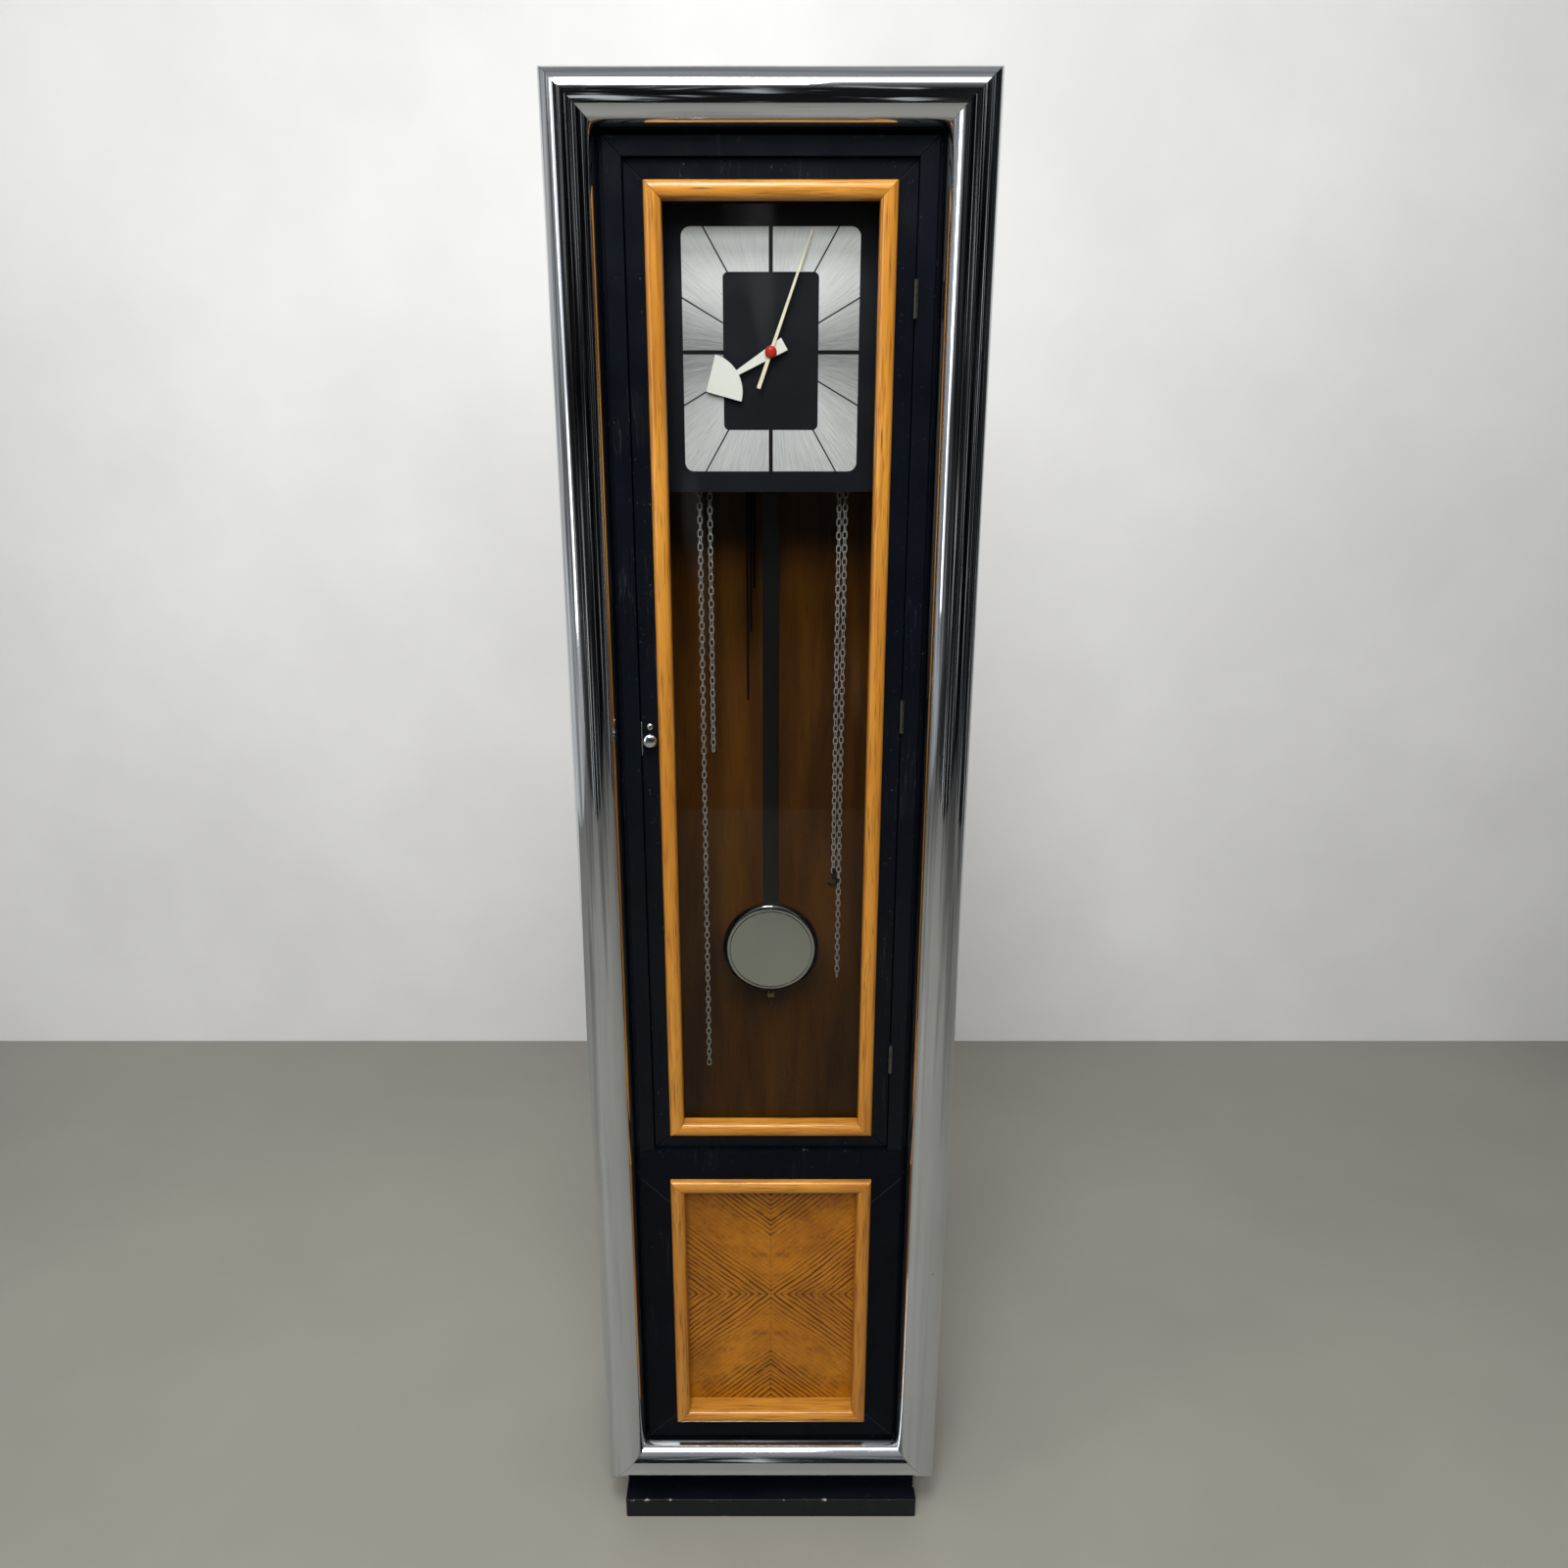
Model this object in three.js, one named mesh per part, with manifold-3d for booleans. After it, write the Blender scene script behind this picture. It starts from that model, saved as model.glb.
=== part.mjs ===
// A longcase (grandfather) clock: a black case whose front is framed by a mitred half-round chrome trim,
// a glazed door hinged on the right, a fixed veneered panel below it, and a chain-driven pendulum movement.
// Units are millimetres. X points right, Y points to the back and Z points up.
// The origin is on the floor, under the middle of the case. Wheels and hands turn about axes along Y.

import * as THREE from 'three';
import { mergeVertices } from 'three/addons/utils/BufferGeometryUtils.js';
import Module from 'manifold-3d';

const wasm = await Module();
wasm.setup();

// ---------------------------------------------------------------- driving dimensions

const WIDTH = 460;
const DEPTH = 277.5;
const HEIGHT = 1820;
const GAP = 0.3;             // clearance left between pieces that touch
const MITRE_GAP = 0.2;       // each mitred end stops short by this much along its length

// Case
const TRIM_RADIUS = 27.5;    // the chrome trim is half a circle in section
const TRIM_WIDTH = 2 * TRIM_RADIUS;
const BACK = DEPTH / 2;
const CASE_FRONT = -DEPTH / 2 + TRIM_RADIUS;
const CASE_LOW = 56;
const BOARD = 18;
const BACK_PANEL = 6;
const SLAB_HEIGHT = 30.6;
const SLAB_WIDTH = 409;
const RISER_WIDTH = 370;
const INSIDE = WIDTH / 2 - BOARD - GAP;          // half-width between the case sides

// Face frame around the door, and the fixed frame below it
const FACE_Y = CASE_FRONT + 2;
const FACE_THICK = 26;
const FACE_OPEN = { half: 151, low: 582, high: 1741 };
const GROOVE = { near: 19, far: 24, deep: 8 };   // shadow groove just inside the trim
const PANEL_OPEN = { half: 119, low: 157, high: 526.6 };
const PANEL_THICK = 6;
const PANEL_SET_BACK = FACE_THICK - PANEL_THICK;

// Door
const DOOR_Y = CASE_FRONT + 8;
const DOOR_THICK = 20;
const DOOR_BOARD = 32.3;
const DOOR_CLEAR = 0.7;
const GLASS_THICK = 3;
const GLASS_SET_BACK = 9;
const MOULDING = { width: 18, rise: 10, foot: 3, overlap: 6 };
const HINGE = { x: 150.75, y: DOOR_Y - 8.75, length: 38, knuckle: 2.5 };
const DOOR_HINGE_HEIGHTS = { top: 1607, middle: 1161, bottom: 717 };
const KNOB = { x: -140, z: 1133, radius: 8.2 };
const STUD = { radius: 4.3, rise: 3, above: 14 };
const LATCH_PLATE = { thick: 1, reach: 14, proud: 0.6, height: 40 };

// Dial and hands
const DIAL = { z: 1557.6, y: -56.25, half: 125, tall: 148.6 };
const RING = { width: 192, height: 252, corner: 10 };
const WINDOW = { width: 104, height: 163, corner: 6 };
const HOUR_ANGLE = 240;      // degrees clockwise from twelve
const MINUTE_ANGLE = 19.8;

// Movement: plates, train and chains
const PLATE = { half: 100, low: 1427.3, high: 1640, thick: 3, front: -30, back: 13 };
const SEAT = { low: 1412, thick: 15, front: -50, back: 28 };
const CHAIN_Y = -16;
const CHAIN_RADIUS = 2.6;
const SPROCKET = 14;         // radius of the chain's centre line on its sprocket
const ARBOR = 2;
const PIVOT = 1.2;
const BORE = 1.6;

// Pendulum
const SWING = { y: 39, z: 1620 };
const ROD = { half: 10.5, thick: 6, top: 1598, low: 746 };
const BOB = { z: 801, radius: 65, face: 58.5, half: 9 };

// ---------------------------------------------------------------- materials

const paint = (color, roughness, metalness) =>
  new THREE.MeshStandardMaterial({ color, roughness, metalness });
const lacquer = () => paint(0x0b0d12, 0.35, 0);
const oak = () => paint(0xc07f34, 0.4, 0);
const veneer = () => paint(0xa8661f, 0.4, 0);
const chrome = () => paint(0xd4d7da, 0.08, 1);
const brass = () => paint(0xb08d3e, 0.35, 1);
const steel = () => paint(0x9a9da1, 0.35, 1);
const darkSteel = () => paint(0x1a1a1c, 0.5, 0.8);
const silver = () => paint(0xb4b7ba, 0.35, 1);
const whitePaint = () => paint(0xe6e4dc, 0.5, 0);
const creamPaint = () => paint(0xd2c8a8, 0.5, 0);
const redPaint = () => paint(0xb82a1c, 0.4, 0);
const pane = () => {
  const material = paint(0xdfe6e4, 0.05, 0);
  material.transparent = true;
  material.opacity = 0.3;
  return material;
};

// ---------------------------------------------------------------- geometry helpers

const clock = new THREE.Group();

function add(name, geometry, material, place = {}) {
  const mesh = new THREE.Mesh(geometry, material);
  mesh.name = name;
  mesh.position.set(place.x ?? 0, place.y ?? 0, place.z ?? 0);
  mesh.rotation.y = place.turn ?? 0;
  clock.add(mesh);
  return mesh;
}

function toSolid(geometry) {
  const bare = geometry.clone();
  bare.deleteAttribute('normal');
  bare.deleteAttribute('uv');
  const merged = mergeVertices(bare);
  const vertProperties = new Float32Array(merged.attributes.position.array);
  const triVerts = new Uint32Array(merged.index.array);
  return new wasm.Manifold(new wasm.Mesh({ numProp: 3, vertProperties, triVerts }));
}

function toGeometry(solid) {
  const mesh = solid.getMesh();
  const geometry = new THREE.BufferGeometry();
  geometry.setAttribute('position', new THREE.BufferAttribute(mesh.vertProperties, 3));
  geometry.setIndex(new THREE.BufferAttribute(mesh.triVerts, 1));
  geometry.computeVertexNormals();
  return geometry;
}

const fuse = (...pieces) => toGeometry(pieces.map(toSolid).reduce((sum, piece) => sum.add(piece)));
const cut = (body, ...tools) =>
  toGeometry(tools.map(toSolid).reduce((rest, tool) => rest.subtract(tool), toSolid(body)));

// A box between two limits on each axis.
function block([x0, x1], [y0, y1], [z0, z1]) {
  return new THREE.BoxGeometry(x1 - x0, y1 - y0, z1 - z0)
    .translate((x0 + x1) / 2, (y0 + y1) / 2, (z0 + z1) / 2);
}

// A round bar along Y or along Z.
function barY(radius, y0, y1, x = 0, z = 0, sides = 12) {
  return new THREE.CylinderGeometry(radius, radius, y1 - y0, sides).translate(x, (y0 + y1) / 2, z);
}

function barZ(radius, z0, z1, x = 0, y = 0, sides = 12) {
  return new THREE.CylinderGeometry(radius, radius, z1 - z0, sides)
    .rotateX(Math.PI / 2)
    .translate(x, y, (z0 + z1) / 2);
}

// A turned piece whose profile is a list of [radius, y] pairs that starts and ends on its axis.
function turnedY(profile, sides = 32) {
  return new THREE.LatheGeometry(profile.map(([r, y]) => new THREE.Vector2(r, y)), sides);
}

// A flat outline drawn in X and Z, given thickness from y0 back to y1.
function plateXZ(shape, y0, y1, curveSegments = 6) {
  const settings = { depth: y1 - y0, bevelEnabled: false, curveSegments };
  return new THREE.ExtrudeGeometry(shape, settings).rotateX(Math.PI / 2).translate(0, y1, 0);
}

function outline(points) {
  return new THREE.Shape(points.map(([x, z]) => new THREE.Vector2(x, z)));
}

function roundedRectangle(width, height, corner) {
  const x = width / 2 - corner;
  const z = height / 2 - corner;
  const shape = new THREE.Shape();
  shape.absarc(x, z, corner, 0, Math.PI / 2);
  shape.absarc(-x, z, corner, Math.PI / 2, Math.PI);
  shape.absarc(-x, -z, corner, Math.PI, 1.5 * Math.PI);
  shape.absarc(x, -z, corner, 1.5 * Math.PI, 2 * Math.PI);
  return shape;
}

// Joins two rings of points, one at each end, into a closed body.
function prism(startRing, endRing, capTriangles) {
  const count = startRing.length;
  const triangles = [];
  for (const [a, b, c] of capTriangles) {
    triangles.push([a, b, c], [count + c, count + b, count + a]);
  }
  for (let i = 0; i < count; i++) {
    const j = (i + 1) % count;
    triangles.push([j, i, count + i], [j, count + i, count + j]);
  }
  const points = [...startRing, ...endRing].map((p) => new THREE.Vector3(...p));
  const volume = triangles.reduce(
    (sum, [a, b, c]) => sum + points[a].dot(points[b].clone().cross(points[c])), 0);
  const facing = volume > 0 ? triangles : triangles.map(([a, b, c]) => [c, b, a]);
  const geometry = new THREE.BufferGeometry().setFromPoints(points);
  geometry.setIndex(facing.flat());
  geometry.computeVertexNormals();
  return geometry;
}

// One side of a rectangular frame, mitred at 45 degrees where it meets the next side.
// The profile is a list of [out, y] pairs: out is measured outwards from the frame's inner edge.
// An end given in square is cut straight at that height or distance instead.
function frameSide(side, inner, profile, square = {}) {
  const section = profile.map(([out, y]) => new THREE.Vector2(out, y));
  if (THREE.ShapeUtils.isClockWise(section)) section.reverse();
  const upright = side === 'left' || side === 'right';
  const lowEnd = upright ? inner.low : -inner.half;
  const highEnd = upright ? inner.high : inner.half;
  const place = (out, y, run) => {
    if (side === 'left') return [-inner.half - out, y, run];
    if (side === 'right') return [inner.half + out, y, run];
    return [run, y, side === 'top' ? inner.high + out : inner.low - out];
  };
  const start = section.map((p) => place(p.x, p.y, square.low ?? lowEnd - p.x + MITRE_GAP));
  const end = section.map((p) => place(p.x, p.y, square.high ?? highEnd + p.x - MITRE_GAP));
  return prism(start, end, THREE.ShapeUtils.triangulateShape(section, []));
}

const SIDES = ['left', 'right', 'top', 'bottom'];

// Points along half an ellipse that stands on y = base and rises towards the front.
function halfRound(width, rise, base, steps) {
  return Array.from({ length: steps + 1 }, (_, i) => {
    const angle = (Math.PI * i) / steps;
    return [(width / 2) * (1 - Math.cos(angle)), base - rise * Math.sin(angle)];
  });
}

// ---------------------------------------------------------------- case

function makeCase() {
  const deep = [CASE_FRONT + GAP, BACK];
  const innerLow = CASE_LOW + BOARD + GAP;
  const innerHigh = HEIGHT - BOARD - GAP;
  const half = WIDTH / 2;
  const slab = SLAB_WIDTH / 2;
  const riser = RISER_WIDTH / 2;
  add('plinth_slab', block([-slab, slab], [-DEPTH / 2, BACK], [0, SLAB_HEIGHT]), lacquer());
  add('plinth_riser', block([-riser, riser], [-100, 125], [SLAB_HEIGHT + GAP, CASE_LOW - GAP]), lacquer());
  add('case_bottom', block([-half, half], deep, [CASE_LOW, CASE_LOW + BOARD]), lacquer());
  add('case_top', block([-half, half], deep, [HEIGHT - BOARD, HEIGHT]), lacquer());
  add('case_side_left', block([-half, -half + BOARD], deep, [innerLow, innerHigh]), lacquer());
  add('case_side_right', block([half - BOARD, half], deep, [innerLow, innerHigh]), lacquer());
  add('case_back', block([-INSIDE, INSIDE], [BACK - BACK_PANEL, BACK], [innerLow, innerHigh]), veneer());
}

function makeChromeTrim() {
  const inner = {
    half: WIDTH / 2 - TRIM_WIDTH,
    low: CASE_LOW + TRIM_WIDTH,
    high: HEIGHT - TRIM_WIDTH,
  };
  const profile = halfRound(TRIM_WIDTH, TRIM_RADIUS, CASE_FRONT, 24);
  for (const side of SIDES) add(`chrome_trim_${side}`, frameSide(side, inner, profile), chrome());
}

// ---------------------------------------------------------------- fixed front

// The face frame's boards have a narrow groove that lies just inside the chrome trim.
function makeFaceFrame() {
  const outer = INSIDE - FACE_OPEN.half;
  const profile = [
    [0, FACE_Y],
    [GROOVE.near, FACE_Y],
    [GROOVE.near, FACE_Y + GROOVE.deep],
    [GROOVE.far, FACE_Y + GROOVE.deep],
    [GROOVE.far, FACE_Y],
    [outer, FACE_Y],
    [outer, FACE_Y + FACE_THICK],
    [0, FACE_Y + FACE_THICK],
  ];
  const foot = { low: FACE_OPEN.low };
  add('face_stile_left', frameSide('left', FACE_OPEN, profile, foot), lacquer());
  const right = frameSide('right', FACE_OPEN, profile, foot);
  const recesses = Object.values(DOOR_HINGE_HEIGHTS).map((z) => hingeRecess(z, 1));
  add('face_stile_right', cut(right, ...recesses), lacquer());
  add('face_rail_top', frameSide('top', FACE_OPEN, profile), lacquer());
}

function makeLowerFront() {
  const low = CASE_LOW + BOARD + GAP;
  const high = FACE_OPEN.low - GAP;
  const { half, low: panelLow, high: panelHigh } = PANEL_OPEN;
  const board = block([-INSIDE, INSIDE], [FACE_Y, FACE_Y + FACE_THICK], [low, high]);
  const opening = block([-half, half], [FACE_Y - 1, FACE_Y + FACE_THICK + 1], [panelLow, panelHigh]);
  const near = FACE_OPEN.half + GROOVE.near;
  const far = FACE_OPEN.half + GROOVE.far;
  const grooveY = [FACE_Y - 1, FACE_Y + GROOVE.deep];
  const grooveLow = CASE_LOW + TRIM_WIDTH;
  const grooveBottom = block([-far, far], grooveY, [grooveLow, grooveLow + far - near]);
  const grooveLeft = block([-far, -near], grooveY, [grooveLow, high + 1]);
  const grooveRight = block([near, far], grooveY, [grooveLow, high + 1]);
  add('lower_frame', cut(board, opening, grooveBottom, grooveLeft, grooveRight), lacquer());

  const panelY = FACE_Y + PANEL_SET_BACK;
  const panel = block([-half + GAP, half - GAP], [panelY, panelY + PANEL_THICK],
    [panelLow + GAP, panelHigh - GAP]);
  add('lower_panel', panel, veneer());
  makeMoulding('lower_moulding', PANEL_OPEN, FACE_Y, PANEL_SET_BACK);
}

// A half-round moulding on a low foot, mitred at its corners. It laps over the opening it surrounds,
// and its tongue lines the opening back to the panel or the glass.
function makeMoulding(name, opening, faceY, setBack) {
  const { width, rise, foot, overlap } = MOULDING;
  const base = faceY - GAP;
  const tongueEnd = faceY + setBack - GAP;
  const tongueOut = overlap - GAP;
  const inner = {
    half: opening.half - overlap,
    low: opening.low + overlap,
    high: opening.high - overlap,
  };
  const profile = [
    [0, tongueEnd],
    ...halfRound(width, rise - foot, base - foot, 12),
    [width, base],
    [tongueOut, base],
    [tongueOut, tongueEnd],
  ];
  for (const side of SIDES) add(`${name}_${side}`, frameSide(side, inner, profile), oak());
}

// ---------------------------------------------------------------- door

const doorOuter = {
  half: FACE_OPEN.half - DOOR_CLEAR,
  low: FACE_OPEN.low + DOOR_CLEAR,
  high: FACE_OPEN.high - DOOR_CLEAR,
};
const doorOpening = {
  half: doorOuter.half - DOOR_BOARD,
  low: doorOuter.low + DOOR_BOARD,
  high: doorOuter.high - DOOR_BOARD,
};

function makeDoor() {
  const back = DOOR_Y + DOOR_THICK;
  const profile = [[0, DOOR_Y], [DOOR_BOARD, DOOR_Y], [DOOR_BOARD, back], [0, back]];
  const bore = barY(3.4, DOOR_Y - 1, back + 1, KNOB.x, KNOB.z);
  add('door_stile_left', cut(frameSide('left', doorOpening, profile), bore, latchPlateRecess()), lacquer());
  const recesses = Object.values(DOOR_HINGE_HEIGHTS).map((z) => hingeRecess(z, -1));
  add('door_stile_right', cut(frameSide('right', doorOpening, profile), ...recesses), lacquer());
  add('door_rail_top', frameSide('top', doorOpening, profile), lacquer());
  add('door_rail_bottom', frameSide('bottom', doorOpening, profile), lacquer());
  makeMoulding('door_moulding', doorOpening, DOOR_Y, GLASS_SET_BACK);

  const { half, low, high } = doorOpening;
  const glassY = DOOR_Y + GLASS_SET_BACK;
  const glass = block([-half + GAP, half - GAP], [glassY, glassY + GLASS_THICK], [low + GAP, high - GAP]);
  add('door_glass', glass, pane());
}

// A turn latch: knob, spindle and cam, riveted together. The cam hangs down when the door is free.
function makeLatch() {
  const face = DOOR_Y - GAP;
  const camY = DOOR_Y + DOOR_THICK + GAP;
  const knob = turnedY([
    [0, face - 16], [4, face - 15.4], [KNOB.radius - 1, face - 13], [KNOB.radius, face - 10],
    [KNOB.radius - 1.6, face - 7], [3.4, face - 5], [3.4, face - 1.5], [5.2, face], [0, face],
  ], 24);
  const spindle = barY(3, face - 2, camY + 2);
  const cam = block([-6, 6], [camY, camY + 2], [-28, 6]);
  add('turn_latch', fuse(knob, spindle, cam), chrome(), { x: KNOB.x, z: KNOB.z });
}

// The pocket in the door's left edge that the latch plate sits in.
function latchPlateRecess() {
  const edge = -doorOuter.half;
  const tall = LATCH_PLATE.height / 2 + GAP;
  return block([edge - 1, edge + LATCH_PLATE.thick + GAP], [DOOR_Y - 1, DOOR_Y + LATCH_PLATE.reach + GAP],
    [KNOB.z - tall, KNOB.z + tall]);
}

// A thin plate let into the door's edge beside the knob, and a small domed stud above the knob.
function makeLatchTrim() {
  const { thick, reach, proud, height } = LATCH_PLATE;
  const edge = -doorOuter.half;
  const plate = block([edge, edge + thick], [DOOR_Y - proud, DOOR_Y + reach],
    [KNOB.z - height / 2, KNOB.z + height / 2]);
  add('latch_plate', plate, chrome());

  const { radius, rise, above } = STUD;
  const dome = turnedY([
    [0, -rise], [radius * 0.5, -rise * 0.87], [radius * 0.87, -rise * 0.5], [radius, 0], [0, 0],
  ], 20).translate(0, DOOR_Y - GAP, 0);
  add('latch_stud', dome, chrome(), { x: KNOB.x, z: KNOB.z + above });
}

// ---------------------------------------------------------------- butt hinges

const LEAF = { thick: 1.2, reach: 20, offset: 0.35 };
const KNUCKLES = 5;

// A pocket in the edge of the frame (side 1) or of the door (side -1) that takes one hinge leaf.
function hingeRecess(z, side) {
  const far = HINGE.x + side * (LEAF.offset + LEAF.thick + GAP);
  const xs = [HINGE.x - side * 0.5, far].sort((a, b) => a - b);
  const tall = HINGE.length / 2 + GAP;
  return block(xs, [HINGE.y, HINGE.y + LEAF.reach + 2 * GAP], [z - tall, z + tall]);
}

// One leaf. Even knuckles belong to the frame's leaf, which also holds the pin; odd ones to the door's.
function hingeLeaf(side) {
  const { x, y, length, knuckle } = HINGE;
  const pitch = length / KNUCKLES;
  const xs = [x + side * LEAF.offset, x + side * (LEAF.offset + LEAF.thick)].sort((a, b) => a - b);
  const pieces = [block(xs, [y + knuckle + 0.2, y + LEAF.reach], [-length / 2, length / 2])];
  for (let i = side > 0 ? 0 : 1; i < KNUCKLES; i += 2) {
    const low = -length / 2 + i * pitch + (i > 0 ? 0.2 : 0);
    const high = -length / 2 + (i + 1) * pitch - (i < KNUCKLES - 1 ? 0.2 : 0);
    pieces.push(barZ(knuckle, low, high, x, y));
    pieces.push(block(xs, [y, y + knuckle + 0.4], [low, high]));
  }
  const pinEnd = length / 2 - 0.5;
  if (side > 0) return fuse(...pieces, barZ(1.2, -pinEnd, pinEnd, x, y, 10));
  return cut(fuse(...pieces), barZ(1.6, -length, length, x, y, 10));
}

function makeHinges() {
  for (const [place, z] of Object.entries(DOOR_HINGE_HEIGHTS)) {
    add(`hinge_${place}_frame_leaf`, hingeLeaf(1), darkSteel(), { z });
    add(`hinge_${place}_door_leaf`, hingeLeaf(-1), darkSteel(), { z });
  }
}

// ---------------------------------------------------------------- wheels of the movement

// Tooth counts and modules. Each wheel drives the pinion of the next arbor, slowest first.
const TRAIN = {
  great: { teeth: 52, module: 1.6 },
  intermediate: { pinion: 12, teeth: 56, module: 1.2 },
  centre: { pinion: 12, teeth: 80, module: 0.7 },
  third: { pinion: 10, teeth: 75, module: 0.6 },
  escape: { pinion: 9, teeth: 30, module: 1.04 },
};
const pitchRadius = (teeth, module) => (teeth * module) / 2;
const meshDistance = (wheel, next) =>
  pitchRadius(wheel.teeth + next.pinion, wheel.module) + 0.1 * wheel.module;

// The point at distance ra from a and rb from b, on the left (side 1) or right (side -1) of a to b.
function triangulate(a, b, ra, rb, side) {
  const apart = Math.hypot(b.x - a.x, b.z - a.z);
  const along = (ra * ra - rb * rb + apart * apart) / (2 * apart);
  const across = side * Math.sqrt(ra * ra - along * along);
  const ux = (b.x - a.x) / apart;
  const uz = (b.z - a.z) / apart;
  return { x: a.x + along * ux - across * uz, z: a.z + along * uz + across * ux };
}

const centreAt = { x: 0, z: DIAL.z };
const greatAt = { x: 83.5, z: 1545 };
const strikeAt = { x: -77.25, z: 1545 };
const intermediateAt = triangulate(centreAt, greatAt,
  meshDistance(TRAIN.intermediate, TRAIN.centre), meshDistance(TRAIN.great, TRAIN.intermediate), -1);
const escapeAt = { x: 0, z: SWING.z - 22.6 };
const thirdAt = triangulate(centreAt, escapeAt,
  meshDistance(TRAIN.centre, TRAIN.third), meshDistance(TRAIN.third, TRAIN.escape), 1);

// Direction from one arbor to the next, measured like the angles of a Shape.
const direction = (from, to) => Math.atan2(to.z - from.z, to.x - from.x);

// The turn that puts a pinion's gaps where the driving wheel's teeth are.
function inMesh(from, to, wheelTeeth, pinionTeeth, wheelTurn) {
  const toward = direction(from, to);
  return toward + Math.PI - (wheelTeeth / pinionTeeth) * (wheelTurn - toward) - Math.PI / pinionTeeth;
}

// Straight-sided teeth, turned so that one tooth points along the given angle.
function gear(teeth, module, turn, y0, y1, tip = 0.9, root = 1.15) {
  const pitch = (2 * Math.PI) / teeth;
  const inner = pitchRadius(teeth, module) - root * module;
  const outer = pitchRadius(teeth, module) + tip * module;
  const points = [];
  for (let i = 0; i < teeth; i++) {
    for (const [radius, part] of [[inner, -0.27], [outer, -0.08], [outer, 0.08], [inner, 0.27]]) {
      const angle = turn + (i + part) * pitch;
      points.push([radius * Math.cos(angle), radius * Math.sin(angle)]);
    }
  }
  return plateXZ(outline(points), y0, y1);
}

// An arbor between the two plates, with a thinner pivot at each end.
function arbor(from = PLATE.front + 0.5, to = PLATE.back + PLATE.thick - 0.5) {
  const low = PLATE.front + PLATE.thick + 0.5;
  const high = PLATE.back - 0.5;
  return turnedY([[0, from], [PIVOT, from], [PIVOT, low], [ARBOR, low], [ARBOR, high],
    [PIVOT, high], [PIVOT, to], [0, to]], 10);
}

// A ratcheted chain sprocket: a grooved drum that the chain lies on.
function sprocket() {
  const rim = SPROCKET - CHAIN_RADIUS - 0.4;
  const flange = rim + 2;
  const profile = [
    [0, -4.5], [flange, -4.5], [flange, -3.6], [rim, -3.2],
    [rim, 3.2], [flange, 3.6], [flange, 5.5], [0, 5.5],
  ];
  return turnedY(profile, 24).translate(0, CHAIN_Y, 0);
}

function makeTrain() {
  const { great, intermediate, centre, third, escape } = TRAIN;
  const intermediateTurn = inMesh(greatAt, intermediateAt, great.teeth, intermediate.pinion, 0);
  const centreTurn = inMesh(intermediateAt, centreAt, intermediate.teeth, centre.pinion, intermediateTurn);
  const thirdTurn = inMesh(centreAt, thirdAt, centre.teeth, third.pinion, centreTurn);
  const escapeTurn = inMesh(thirdAt, escapeAt, third.teeth, escape.pinion, thirdTurn);

  const greatWheel = () => fuse(gear(great.teeth, great.module, 0, -11, -8), sprocket(), arbor());
  add('great_wheel', greatWheel(), brass(), greatAt);
  add('strike_great_wheel', greatWheel(), brass(), strikeAt);

  const intermediateWheel = fuse(
    gear(intermediate.pinion, great.module, intermediateTurn, -12.5, -6.5),
    gear(intermediate.teeth, intermediate.module, intermediateTurn, 6, 8.5),
    arbor(),
  );
  add('intermediate_wheel', intermediateWheel, brass(), intermediateAt);

  // The centre arbor carries the minute hand, so it runs forward through the dial.
  const toHand = barY(ARBOR, DIAL.y - 9.2, PLATE.front + PLATE.thick + 1, 0, 0, 10);
  const centreWheel = fuse(
    gear(centre.pinion, intermediate.module, centreTurn, 4.5, 10),
    gear(centre.teeth, centre.module, centreTurn, -5, -2.5),
    arbor(PLATE.front + 1),
    toHand,
  );
  add('centre_wheel', centreWheel, brass(), centreAt);

  const thirdWheel = fuse(
    gear(third.pinion, centre.module, thirdTurn, -6.5, -1),
    gear(third.teeth, third.module, thirdTurn, 0.5, 2.5),
    arbor(),
  );
  add('third_wheel', thirdWheel, brass(), thirdAt);

  const escapeWheel = fuse(
    gear(escape.pinion, third.module, escapeTurn, -0.5, 3.5),
    gear(escape.teeth, escape.module, escapeTurn, 6, 8),
    arbor(),
  );
  add('escape_wheel', escapeWheel, brass(), escapeAt);
}

// The anchor spans the escape wheel. Its crutch reaches behind the back plate into the pendulum rod.
function makeAnchor() {
  const drop = SWING.z - escapeAt.z;
  const band = new THREE.Shape();
  const open = THREE.MathUtils.degToRad(38);
  band.absarc(0, -drop, 22.5, open, Math.PI - open, false);
  band.absarc(0, -drop, 18.8, Math.PI - open, open, true);
  const plateBack = PLATE.back + PLATE.thick;
  const pieces = [
    plateXZ(band, 5, 9, 12),
    barY(3.2, 4.5, 9.5),
    arbor(PLATE.front + 0.5, plateBack + 6),
    block([-2, 2], [plateBack + 3, plateBack + 6], [-58, 1.8]),
    barY(1.4, plateBack + 3, SWING.y + 7, 0, -55, 10),
  ];
  add('anchor', fuse(...pieces), steel(), { x: 0, z: SWING.z });
}

// ---------------------------------------------------------------- plates, seat board and chime rods

const bores = (holes, y0, y1) => holes.map(({ x, z, r = BORE }) => barY(r, y0, y1, x, z));

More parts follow.
